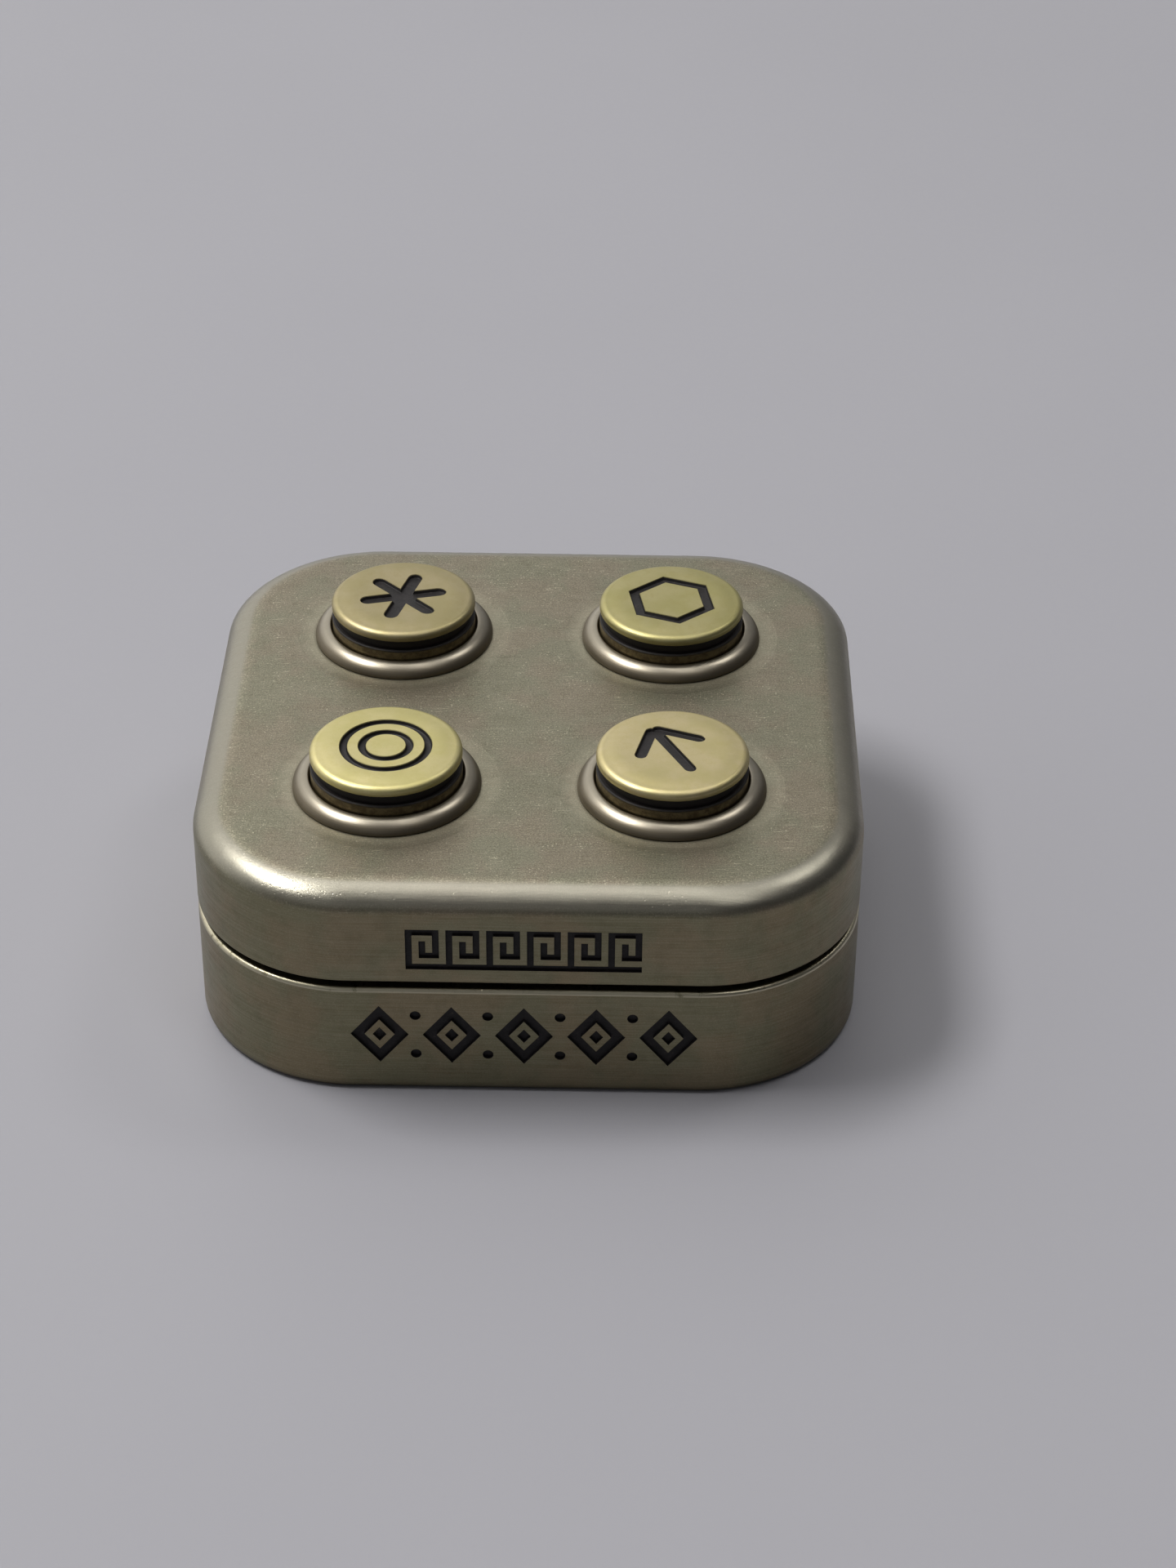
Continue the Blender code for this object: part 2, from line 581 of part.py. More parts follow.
def slot_cutter(name, place, centre, length, width, turn):
    """A straight round-ended engraving; centre is measured from the button's axis."""
    mesh = block_mesh(name, length, width, width * ALMOST_HALF, -SIGN_DEPTH, CUT_MARGIN,
                      corner_steps=SIGN_STEPS)
    return add_cutter(name, mesh, Vector(place) + Vector((*centre, 0.0)), turn)


def ring_cutter(name, place, radius, line, sides, turn):
    """A ring-shaped engraving, round or with straight sides."""
    outer = radius + line / 2.0
    inner = radius - line / 2.0
    outline = [(outer, CUT_MARGIN), (outer, -SIGN_DEPTH), (inner, -SIGN_DEPTH), (inner, CUT_MARGIN)]
    cutter = add_cutter(name, profile_mesh(name, outline, True), place, turn)
    spin = cutter.modifiers.new("turn", "SCREW")
    spin.axis = "Z"
    spin.steps = sides
    spin.render_steps = sides
    spin.use_merge_vertices = True
    spin.merge_threshold = 0.000001
    return cutter


def star_sign(name, place, turn):
    """Three crossing slots."""
    arms = []
    for number in range(3):
        angle = turn + number * math.pi / 3.0
        arms.append(slot_cutter(f"{name}_{number}", place, (0.0, 0.0), 2.0 * STAR_REACH, STAR_LINE, angle))
    return arms


def hexagon_sign(name, place, turn):
    """A six-sided outline."""
    return [ring_cutter(name, place, SIGN_REACH, HEXAGON_LINE, 6, turn)]


def rings_sign(name, place, turn):
    """Two rings, one inside the other."""
    radii = (SIGN_REACH, SIGN_REACH - 2.5 * RING_LINE)
    return [ring_cutter(f"{name}_{number}", place, radius, RING_LINE, ROUND_STEPS // 2, turn)
            for number, radius in enumerate(radii)]


def arrow_sign(name, place, turn):
    """An arrow: two slots that meet at its point, and a shaft between them."""
    cutters = []
    point = Vector((math.cos(turn), math.sin(turn))) * SIGN_REACH
    for number, (side, share) in enumerate(((-1, 1.3), (0, 2.0), (1, 1.3)), start=1):
        angle = turn + side * math.radians(ARROW_HALF_ANGLE)
        direction = Vector((math.cos(angle), math.sin(angle)))
        length = share * SIGN_REACH
        centre = point - direction * (length / 2.0)
        cutters.append(slot_cutter(f"{name}_{number}", place, centre, length, ARROW_LINE, angle))
    return cutters


SIGNS = {
    "front_left": (rings_sign, 0.0),
    "front_right": (arrow_sign, 118.0),
    "back_left": (star_sign, 14.0),
    "back_right": (hexagon_sign, 10.0),
}


def build_bezel(name, side_x, side_y, axis):
    """A bezel ring pressed into its bore in the upper shell."""
    outline = bezel_outline()
    turned(f"bezel_{name}", outline, ROUND_STEPS, button_axis(side_x, side_y, 0.0), BEZEL_METAL, axis, True)


def build_button(name, side_x, side_y, axis):
    """A brass button with its engraved sign, guided by the bezel's sleeve."""
    place = button_axis(side_x, side_y, CAP_TOP)
    outline = shifted(button_outline(), CAP_TOP)
    button = turned(f"button_{name}", outline, ROUND_STEPS, place, BUTTON_BRASS, axis)
    draw_sign, degrees = SIGNS[name]
    for cutter in draw_sign(f"sign_{name}", place, math.radians(degrees)):
        combine(button, cutter)


def build_washer(name, side_x, side_y, axis):
    """The slippery washer that the spring pushes and the button turns on."""
    outer = RECESS_RADIUS - FIT_GAP
    outline = [
        (outer, WASHER_THICKNESS),
        (outer, 0.0),
        (WASHER_HOLE_RADIUS, 0.0),
        (WASHER_HOLE_RADIUS, WASHER_THICKNESS),
    ]
    place = button_axis(side_x, side_y, WASHER_BOTTOM)
    turned(f"thrust_washer_{name}", outline, MAGNET_STEPS, place, WASHER_PLASTIC, axis, True)


def coil_height(turn, free_length):
    """Height of the wire's centre after some turns: closed end coils, open coils between them."""
    closed_rise = SPRING_CLOSED_TURNS * 2.0 * SPRING_WIRE_RADIUS * 1.1
    open_turns = SPRING_TURNS - 2.0 * SPRING_CLOSED_TURNS
    open_rise = free_length - 2.0 * closed_rise - 2.0 * SPRING_WIRE_RADIUS
    if turn < SPRING_CLOSED_TURNS:
        rise = closed_rise * turn / SPRING_CLOSED_TURNS
    elif turn < SPRING_CLOSED_TURNS + open_turns:
        rise = closed_rise + open_rise * (turn - SPRING_CLOSED_TURNS) / open_turns
    else:
        last_turns = turn - SPRING_CLOSED_TURNS - open_turns
        rise = closed_rise + open_rise + closed_rise * last_turns / SPRING_CLOSED_TURNS
    return SPRING_WIRE_RADIUS + rise


def build_spring(name, side_x, side_y, axis):
    """A compression coil between the spring plate and the thrust washer."""
    curve = bpy.data.curves.new(f"button_spring_{name}", "CURVE")
    curve.dimensions = "3D"
    curve.bevel_depth = SPRING_WIRE_RADIUS
    curve.bevel_resolution = 2
    curve.use_fill_caps = True
    line = curve.splines.new("POLY")
    count = int(SPRING_TURNS * COIL_STEPS) + 1
    line.points.add(count - 1)
    free_length = SPRING_TOP - SPRING_BOTTOM
    for index, point in enumerate(line.points):
        turn = index / COIL_STEPS
        angle = 2.0 * math.pi * turn
        x = SPRING_MEAN_RADIUS * math.cos(angle)
        y = SPRING_MEAN_RADIUS * math.sin(angle)
        point.co = (x, y, coil_height(turn, free_length), 1.0)
    place = button_axis(side_x, side_y, SPRING_BOTTOM)
    add_object(f"button_spring_{name}", curve, PARTS, place, SPRING_STEEL, axis)


# ---------------------------------------------------------------- the whole slider

def build_slider():
    """Build both halves, the cross guide between them and the four buttons."""
    seam_middle = LOWER_HEIGHT + SEAM_GAP / 2.0
    guide_axis = add_empty("cross_guide_slide_axis", (0.0, 0.0, seam_middle))
    upper_axis = add_empty("upper_half_slide_axis", (0.0, 0.0, seam_middle))
    build_lower_shell()
    build_lower_tray()
    build_lower_track()
    build_cross_guide(guide_axis)
    build_upper_track(upper_axis)
    build_spring_plate(upper_axis)
    build_upper_shell(upper_axis)
    for name, (side_x, side_y) in BUTTON_PLACES.items():
        build_bezel(name, side_x, side_y, upper_axis)
        build_button(name, side_x, side_y, upper_axis)
        build_washer(name, side_x, side_y, upper_axis)
        build_spring(name, side_x, side_y, upper_axis)


build_slider()
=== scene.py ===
"""Magnetic push slider: the finished look of two aged-nickel halves, four bezels and four brass buttons.

Run in Blender, it registers its operators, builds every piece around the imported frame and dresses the
inner pieces in their own finishes. Lengths are in metres; the MM constant turns millimetres into them.
"""

import math

import bmesh
import bpy
from mathutils import Matrix, Vector


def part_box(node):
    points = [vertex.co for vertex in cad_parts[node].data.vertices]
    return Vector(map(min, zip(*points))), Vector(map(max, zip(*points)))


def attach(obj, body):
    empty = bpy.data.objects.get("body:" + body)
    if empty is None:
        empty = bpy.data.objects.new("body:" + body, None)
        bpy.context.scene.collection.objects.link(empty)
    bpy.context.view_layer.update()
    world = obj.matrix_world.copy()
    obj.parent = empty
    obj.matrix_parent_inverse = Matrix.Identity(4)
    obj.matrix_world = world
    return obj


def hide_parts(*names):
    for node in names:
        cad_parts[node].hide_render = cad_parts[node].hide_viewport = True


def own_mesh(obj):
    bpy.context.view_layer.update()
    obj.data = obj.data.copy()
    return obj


bl_info = {
    "name": "Magnetic push slider",
    "version": (1, 0, 0),
    "blender": (4, 5, 0),
    "location": "View3D > Sidebar > Slider",
    "description": "Builds a two-part metal push slider with four sprung brass buttons",
    "category": "Add Mesh",
}

MM = 0.001

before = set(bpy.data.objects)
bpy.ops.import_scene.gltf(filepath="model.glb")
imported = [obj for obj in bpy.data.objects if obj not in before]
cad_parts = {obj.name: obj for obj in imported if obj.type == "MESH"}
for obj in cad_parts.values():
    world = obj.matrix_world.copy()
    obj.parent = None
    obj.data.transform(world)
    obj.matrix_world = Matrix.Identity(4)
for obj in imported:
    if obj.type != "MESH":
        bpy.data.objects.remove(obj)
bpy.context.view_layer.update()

UPPER_LOW, UPPER_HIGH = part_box("upper_shell")
PLATE_LOW, PLATE_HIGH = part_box("lower_track_plate")
TRAY_LOW, TRAY_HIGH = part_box("lower_magnet_tray")
BEZEL_LOW, BEZEL_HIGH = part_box("bezel_back_right")
BUTTON_LOW, BUTTON_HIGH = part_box("button_back_right")
WASHER_LOW, WASHER_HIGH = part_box("thrust_washer_back_right")
SCREW_LOW, SCREW_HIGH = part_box("lower_screw_1")

BODY_SIDE = UPPER_HIGH[0] - UPPER_LOW[0]
UPPER_BOTTOM, UPPER_TOP = UPPER_LOW[2], UPPER_HIGH[2]
LOWER_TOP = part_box("lower_shell")[1][2]
PLATE_FIT = 0.1 * MM
CAVITY_SIDE = PLATE_HIGH[0] - PLATE_LOW[0] + 2.0 * PLATE_FIT
WALL = (BODY_SIDE - CAVITY_SIDE) / 2.0
BUTTON_PITCH = BUTTON_HIGH[0] + BUTTON_LOW[0]
FLANGE_RADIUS = (BUTTON_HIGH[0] - BUTTON_LOW[0]) / 2.0
FLANGE_BOTTOM, CAP_TOP = BUTTON_LOW[2], BUTTON_HIGH[2]
BEZEL_OUTER = (BEZEL_HIGH[0] - BEZEL_LOW[0]) / 2.0
BEZEL_BOTTOM, BEZEL_TOP = BEZEL_LOW[2], BEZEL_HIGH[2]
RECESS_RADIUS = (WASHER_HIGH[0] - WASHER_LOW[0]) / 2.0 + PLATE_FIT
SCREW_OFFSET = (SCREW_HIGH[0] + SCREW_LOW[0]) / 2.0
UPPER_SCREW_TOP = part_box("upper_screw_1")[1][2]
CEILING = BEZEL_BOTTOM
SPRING_PLATE_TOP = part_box("spring_plate")[1][2]
REST_GAP = 0.05 * MM
LOWER_FLOOR = TRAY_LOW[2] - REST_GAP
BORE_RADIUS = 5.78 * MM
BOSS_RADIUS = 1.9 * MM
PILOT_RADIUS = 0.85 * MM
SCREW_ROOM = 0.3 * MM
SIGN_REACH = 2.85 * MM

# The two engraved bands: height of the middle, then sizes and depth
MEANDER_MIDDLE = 11.75 * MM
MEANDER_UNITS = 6
MEANDER_CELL = (0.44 * MM, 0.46 * MM)
MEANDER_DEPTH = 0.22 * MM
LOZENGE_MIDDLE = 4.70 * MM
LOZENGE_COUNT = 5
LOZENGE_SIZE = (3.85 * MM, 4.7 * MM)
LOZENGE_LINE = 0.72 * MM
LOZENGE_DEPTH = 0.25 * MM

# The camera: yaw, pitch and roll in degrees, place in millimetres, focal length in millimetres
CAMERA_ANGLES = (-0.630, 34.481, 0.501)
CAMERA_PLACE = (5.990, -195.515, 143.831)
CAMERA_LENS = 76.92

BUTTON_PLACES = {
    "front_left": (-1, -1),
    "front_right": (1, -1),
    "back_left": (-1, 1),
    "back_right": (1, 1),
}
SCREW_PLACES = ((1, 0), (0, 1), (-1, 0), (0, -1))

# Painted shade: the halves' sides are painted darker and warmer than their tops
SIDE_SHADE_SHARES = (0.80, 0.775, 0.65)

# Painted light and shade: each button's brass lighter or darker against the shared one, as the light falls
# on it
BRASS_LIGHT_SHARES = {
    "front_left": (1.09, 1.11, 1.09),
    "front_right": (1.00, 0.98, 1.08),
    "back_left": (0.74, 0.72, 0.82),
    "back_right": (0.78, 0.80, 0.77),
}

# Soft boxes: name, place, aim, size, power and colour
LAMPS = (
    ("key_box", (-0.46, 0.10, 0.85), (0.0, 0.0, 0.0), (0.46, 0.24), 6.5, (1.0, 0.99, 0.975)),
    ("top_strip", (0.12, 0.07, 1.0), (0.0, 0.0, 0.0), (1.3, 0.22), 2.3, (1.0, 0.99, 0.97)),
    ("right_box", (0.46, 0.34, 0.82), (0.0, 0.0, 0.0), (0.24, 0.24), 1.05, (1.0, 0.99, 0.97)),
    ("front_fill", (-0.30, -0.90, 0.60), (0.0, 0.0, 0.0), (0.9, 0.6), 0.35, (0.98, 0.99, 1.0)),
)

# The room's brightness from its dim side to its bright side, and the way to the bright side
ROOM_AXIS = (-0.75, 0.75, 0.25)
ROOM_STOPS = (
    (0.0, (0.05, 0.05, 0.052)),
    (0.45, (0.08, 0.08, 0.084)),
    (0.75, (0.33, 0.33, 0.33)),
    (0.95, (1.08, 1.07, 1.05)),
)


# ---------------------------------------------------------------- sizes and colours a user may change

def length(name, description, default):
    """A length property in metres."""
    return bpy.props.FloatProperty(name=name, description=description, default=default, min=0.0,
                                   unit="LENGTH", subtype="DISTANCE", precision=5)


def amount(name, description, default):
    """A plain number property."""
    return bpy.props.FloatProperty(name=name, description=description, default=default, min=0.0,
                                   subtype="FACTOR")


def colour(name, description, default):
    """A colour property."""
    return bpy.props.FloatVectorProperty(name=name, description=description, default=default, size=3,
                                         min=0.0, max=1.0, subtype="COLOR")


class SliderShellSizes(bpy.types.PropertyGroup):
    """Sizes of the two metal halves."""
    corner_radius: length("Corner radius", "Radius of the upright corners", 11.0 * MM)
    rim_in: length("Rim reach", "How far the soft top edge reaches inwards", 2.5 * MM)
    rim_down: length("Rim drop", "How far the soft top edge drops", 1.6 * MM)
    rim_squareness: amount("Rim squareness", "2 is a round rim, less is nearer to a bevel", 2.0)
    seam_edge: length("Seam edge", "Width of the small bevel under the upper half", 0.2 * MM)
    # Width of the lower half's top bevel; its brightness is a painted highlight in the nickel finish
    top_bevel: length("Worn edge", "Width of the bright bevel on the lower half", 0.3 * MM)
    base_edge: length("Base edge", "Width of the bevel under the lower half", 0.6 * MM)
    dish_width: length("Dish width", "Width of the shallow dish round each bezel", 1.3 * MM)
    dish_depth: length("Dish depth", "Depth of the shallow dish round each bezel", 0.012 * MM)


class SliderButtonSizes(bpy.types.PropertyGroup):
    """Sizes of the brass buttons and their bezels."""
    cap_radius: length("Cap radius", "Radius of the brass cap", 5.13 * MM)
    edge_reach: length("Cap edge reach", "How far the cap's soft edge reaches inwards", 0.5 * MM)
    edge_drop: length("Cap edge drop", "How far the cap's soft edge drops", 0.40 * MM)
    crown_reach: length("Crown reach", "Width of the band where the cap's top slopes down", 1.3 * MM)
    crown_drop: length("Crown drop", "How far the cap's top slopes down before its edge", 0.09 * MM)
    cap_side: length("Cap side", "Height of the cap's disc", 0.75 * MM)
    groove_height: length("Groove height", "Height of the dark side groove", 0.68 * MM)
    groove_depth: length("Groove depth", "Depth of the dark side groove", 0.3 * MM)
    flange_height: length("Flange height", "Thickness of the hidden flange", 0.6 * MM)
    bezel_gap: length("Bezel gap", "Gap between the button and its bezel", 0.1 * MM)
    bezel_crest: length("Bezel crest", "Radius of the bezel's inner edge", 0.12 * MM)
    bezel_squareness: amount("Bezel squareness", "2 is a round shoulder, more is squarer", 1.75)
    sleeve_wall: length("Sleeve wall", "Thickness of the bezel's sleeve", 0.5 * MM)
    sign_depth: length("Sign depth", "Depth of the engraved signs", 0.28 * MM)


class SliderColours(bpy.types.PropertyGroup):
    """Colours of the finishes."""
    nickel: colour("Nickel", "Aged nickel of the two halves", (0.30, 0.278, 0.207))
    bezel: colour("Bezel", "Nickel of the bezels", (0.35, 0.315, 0.25))
    brass: colour("Brass", "Satin brass of the buttons", (0.53, 0.47, 0.215))
    patina: colour("Patina", "Dark fill of the engravings", (0.016, 0.014, 0.014))
    floor: colour("Floor", "Pale floor", (0.322, 0.319, 0.347))


# ---------------------------------------------------------------- modelling helpers

def deselect():
    """Leave edit mode and deselect everything."""
    if bpy.context.object is not None and bpy.context.object.mode != "OBJECT":
        bpy.ops.object.mode_set(mode="OBJECT")
    bpy.ops.object.select_all(action="DESELECT")


def activate(piece):
    """Make one object the only selected and the active one."""
    deselect()
    piece.select_set(True)
    bpy.context.view_layer.objects.active = piece


def named(name, scale=None):
    """Name the object that was just added, and scale it if asked."""
    made = bpy.context.object
    made.name = name
    made.data.name = name
    if scale is not None:
        made.scale = scale
    return made


def settle(piece):
    """Put the piece's place, turn and scale into its mesh."""
    activate(piece)
    bpy.ops.object.transform_apply(location=True, rotation=True, scale=True)
    return piece


def pick(piece, mode, test):
    """In edit mode, select only the faces or edges that pass a test."""
    if piece.mode != "EDIT":
        activate(piece)
        bpy.ops.object.mode_set(mode="EDIT")
    bpy.ops.mesh.select_mode(type=mode)
    bpy.ops.mesh.select_all(action="DESELECT")
    bm = bmesh.from_edit_mesh(piece.data)
    bm.normal_update()
    elements = {"FACE": bm.faces, "EDGE": bm.edges, "VERT": bm.verts}[mode]
    for element in elements:
        if test(element):
            element.select_set(True)
    bm.select_flush_mode()
    bmesh.update_edit_mesh(piece.data)


def outwards(piece):
    """Merge doubles and turn every face outwards."""
    pick(piece, "FACE", lambda face: True)
    bpy.ops.mesh.remove_doubles(threshold=0.1e-6)
    bpy.ops.mesh.normals_make_consistent(inside=False)
    bpy.ops.object.mode_set(mode="OBJECT")


def facing(direction):
    """A test for flat faces that look one way."""
    aim = Vector(direction)
    return lambda face: face.normal.dot(aim) > 0.999


def rim_steps(reach, drop, count, squareness):
    """(inset, rise) pairs that walk over a soft edge, from the side to the top."""
    points = arc((0.0, 0.0), (reach, drop), 0.0, 90.0, count, squareness)
    return [(start[0] - end[0], end[1] - start[1]) for start, end in zip(points, points[1:])]


def walk_in(steps):
    """Inset the selected face again and again, raising it each time."""
    for inset, rise in steps:
        bpy.ops.mesh.inset(thickness=inset, depth=rise, use_even_offset=True)


def rounded_block(name, side, corner, bottom, top, corner_steps=32):
    """A square block with round upright corners."""
    deselect()
    bpy.ops.mesh.primitive_cube_add(size=1.0, location=(0.0, 0.0, (bottom + top) / 2.0))
    block = settle(named(name, (side, side, top - bottom)))
    half = (top - bottom) / 2.0
    pick(block, "EDGE", lambda edge: abs(edge.verts[0].co.z - edge.verts[1].co.z) > half)
    bpy.ops.mesh.bevel(offset=corner, segments=corner_steps, profile=0.5, affect="EDGES")
    return block


def sweep(piece, centre, start, levels):
    """Extrude and resize the selected circle from its own radius and height through more levels."""
    radius, height = start
    for next_radius, next_height in levels:
        share = next_radius / radius
        rise = (0.0, 0.0, next_height - height)
        bpy.ops.mesh.extrude_region_move(TRANSFORM_OT_translate={"value": rise})
        bpy.ops.transform.resize(value=(share, share, 1.0), center_override=(*centre, next_height))
        radius, height = next_radius, next_height
    bpy.ops.object.mode_set(mode="OBJECT")
    outwards(piece)
    return piece


def turn_up(name, centre, levels, steps=128):
    """A turned solid: a disc is extruded and resized through (radius, height) levels."""
    radius, height = levels[0]
    deselect()
    bpy.ops.mesh.primitive_circle_add(vertices=steps, radius=radius, fill_type="NGON",
                                      location=(*centre, height))
    solid = settle(named(name))
    bpy.ops.object.mode_set(mode="EDIT")
    bpy.ops.mesh.select_all(action="SELECT")
    return sweep(solid, centre, levels[0], levels[1:])


def rounded(angle, squareness):
    """(across, up) of a unit arc at an angle in degrees; 2 is round, less is flatter, more is squarer."""
    pair = (math.cos(math.radians(angle)), math.sin(math.radians(angle)))
    return [math.copysign(abs(part) ** (2.0 / squareness), part) for part in pair]


def arc(centre, radii, start, end, steps, squareness=2.0):
    """(radius, height) points along an arc, both ends included; angles in degrees."""
    points = []
    for step in range(steps + 1):
        across, up = rounded(start + (end - start) * step / steps, squareness)
        points.append((centre[0] + radii[0] * across, centre[1] + radii[1] * up))
    return points


def turn_ring(name, centre, outline, steps=128, turn=0.0):
    """A turned ring: an open circle is extruded and resized round a closed (radius, height) outline."""
    radius, height = outline[0]
    deselect()
    bpy.ops.mesh.primitive_circle_add(vertices=steps, radius=radius, fill_type="NOTHING",
                                      location=(*centre, height), rotation=(0.0, 0.0, turn))
    ring = settle(named(name))
    bpy.ops.object.mode_set(mode="EDIT")
    bpy.ops.mesh.select_mode(type="EDGE")
    bpy.ops.mesh.select_all(action="SELECT")
    return sweep(ring, centre, outline[0], outline[1:] + outline[:1])


def combine(piece, tool, operation):
    """Join a tool to the piece or cut it out, and remove the tool."""
    activate(piece)
    change = piece.modifiers.new("combine", "BOOLEAN")
    change.operation = operation
    change.solver = "EXACT"
    change.material_mode = "TRANSFER"
    change.object = tool
    bpy.ops.object.modifier_apply(modifier=change.name)
    bpy.data.objects.remove(tool, do_unlink=True)


def cut(piece, cutter, *finishes):
    """Cut a shape out of the piece; its faces keep the cutter's own finishes."""
    for finish in finishes:
        cutter.data.materials.append(finish)
    combine(piece, cutter, "DIFFERENCE")


def group(name, tools):
    """Join several cutters that don't touch into one."""
    deselect()
    for tool in tools:
        tool.select_set(True)
    bpy.context.view_layer.objects.active = tools[0]
    bpy.ops.object.join()
    return named(name)


def soften(piece, degrees=32.0):
    """Smooth shading with true corners kept sharp, and flat faces left flat."""
    activate(piece)
    bpy.ops.object.shade_smooth_by_angle(angle=math.radians(degrees))
    change = piece.modifiers.new("even", "WEIGHTED_NORMAL")
    change.keep_sharp = True
    change.weight = 100
    bpy.ops.object.modifier_apply(modifier=change.name)


def place_piece(piece, body, slot, *nodes):
    """Attach the piece to the body it moves with and hide the frame's parts it stands for."""
    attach(piece, body)
    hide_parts(*nodes)


def axis_of(side_x, side_y):
    """The (x, y) of a button's axis."""
    return (side_x * BUTTON_PITCH / 2.0, side_y * BUTTON_PITCH / 2.0)


# ---------------------------------------------------------------- shader helpers

class Wire:
    """A socket of a finish being mixed; sums written with it add Math nodes."""

    def __init__(self, finish, socket):
        self.finish = finish
        self.socket = socket

    def math(self, operation, *others):
        """A Math node on this value and others."""
        values = dict(enumerate((self,) + others))
        return self.finish.node("ShaderNodeMath", {"operation": operation}, values)

    def __add__(self, other):
        return self.math("ADD", other)

    def __radd__(self, other):
        return self.math("ADD", other)

    def __sub__(self, other):
        return self.math("SUBTRACT", other)

    def __rsub__(self, other):
        return self.finish.node("ShaderNodeMath", {"operation": "SUBTRACT"}, {0: other, 1: self})

    def __mul__(self, other):
        return self.math("MULTIPLY", other)

    def __rmul__(self, other):
        return self.math("MULTIPLY", other)

    def __truediv__(self, other):
        return self.math("DIVIDE", other)

    def __pow__(self, other):
        return self.math("POWER", other)

    def __abs__(self):
        return self.math("ABSOLUTE")

    def clamp(self):
        """The value held between 0 and 1."""
        return self.finish.node("ShaderNodeClamp", {}, {"Value": self})

    def fade(self, low, high):
        """0 below low, 1 above high and smooth between; low may be the larger, which turns it round."""
        settings = {"interpolation_type": "SMOOTHSTEP"}
        if low < high:
            return self.finish.node("ShaderNodeMapRange", settings, {"Value": self, 1: low, 2: high})
        return 1.0 - self.finish.node("ShaderNodeMapRange", settings, {"Value": self, 1: high, 2: low})


class Finish:
    """A material drawn with nodes on a Principled shader."""

    def __init__(self, name, **constants):
        self.material = bpy.data.materials.new(name)
        self.material.use_nodes = True
        self.tree = self.material.node_tree
        self.shader = self.tree.nodes["Principled BSDF"]
        for socket, value in constants.items():
            self.shader.inputs[socket.replace("_", " ")].default_value = value

    def node(self, kind, settings, values, output=0):
        """Add a node: its settings first, then its values or links; returns one output."""
        made = self.tree.nodes.new(kind)
        for key, setting in settings.items():
            if key == "stops":
                self.set_stops(made.color_ramp, setting)
            else:
                setattr(made, key, setting)
        for key, value in values.items():
            if isinstance(value, Wire):
                self.tree.links.new(value.socket, made.inputs[key])
            else:
                made.inputs[key].default_value = value
        return Wire(self, made.outputs[output])

    @staticmethod
    def set_stops(ramp, stops):
        """Give a colour ramp its (position, colour) stops."""
        while len(ramp.elements) < len(stops):
            ramp.elements.new(1.0)
        for element, (position, tint) in zip(ramp.elements, stops):
            element.position = position
            element.color = (*tint, 1.0)

    def place(self, centre=(0.0, 0.0, 0.0), scale=(1.0, 1.0, 1.0)):
        """Object coordinates in millimetres from a centre, stretched by a scale."""
        per_mm = tuple(part / MM for part in scale)
        offset = tuple(-middle * part for middle, part in zip(centre, per_mm))
        own = self.node("ShaderNodeTexCoord", {}, {}, "Object")
        return self.node("ShaderNodeMapping", {}, {"Vector": own, "Scale": per_mm, "Location": offset})

    def parts(self, vector):
        """The X, Y and Z of a vector."""
        split = self.tree.nodes.new("ShaderNodeSeparateXYZ")
        self.tree.links.new(vector.socket, split.inputs[0])
        return [Wire(self, output) for output in split.outputs]

    def noise(self, vector, scale, detail=3.0, roughness=0.55):
        """A cloudy value around one half."""
        values = {"Vector": vector, "Scale": scale, "Detail": detail, "Roughness": roughness}
        return self.node("ShaderNodeTexNoise", {}, values)

    def mix(self, share, first, second, blend="MIX"):
        """Two colours mixed by a share."""
        settings = {"data_type": "RGBA", "blend_type": blend, "clamp_result": False}
        return self.node("ShaderNodeMix", settings, {0: share, 6: first, 7: second}, 2)

    def dim(self, share, under, tint):
        """A colour dimmed towards its product with a tint."""
        return self.mix(share, under, shade(tint), "MULTIPLY")

    def bump(self, height, distance, strength=1.0, under=None):
        """A bump normal; distance is the height of a full step, in metres."""
        values = {"Height": height, "Distance": distance, "Strength": strength}
        if under is not None:
            values["Normal"] = under
        return self.node("ShaderNodeBump", {}, values)

    def feed(self, **sockets):
        """Link values to the shader's own sockets."""
        for socket, wire in sockets.items():
            self.tree.links.new(wire.socket, self.shader.inputs[socket.replace("_", " ")])
        return self.material


def shade(tint, factor=1.0):
    """A colour made lighter or darker, with its alpha."""
    return (*(min(1.0, part * factor) for part in tint), 1.0)


# ---------------------------------------------------------------- finishes of the outer pieces

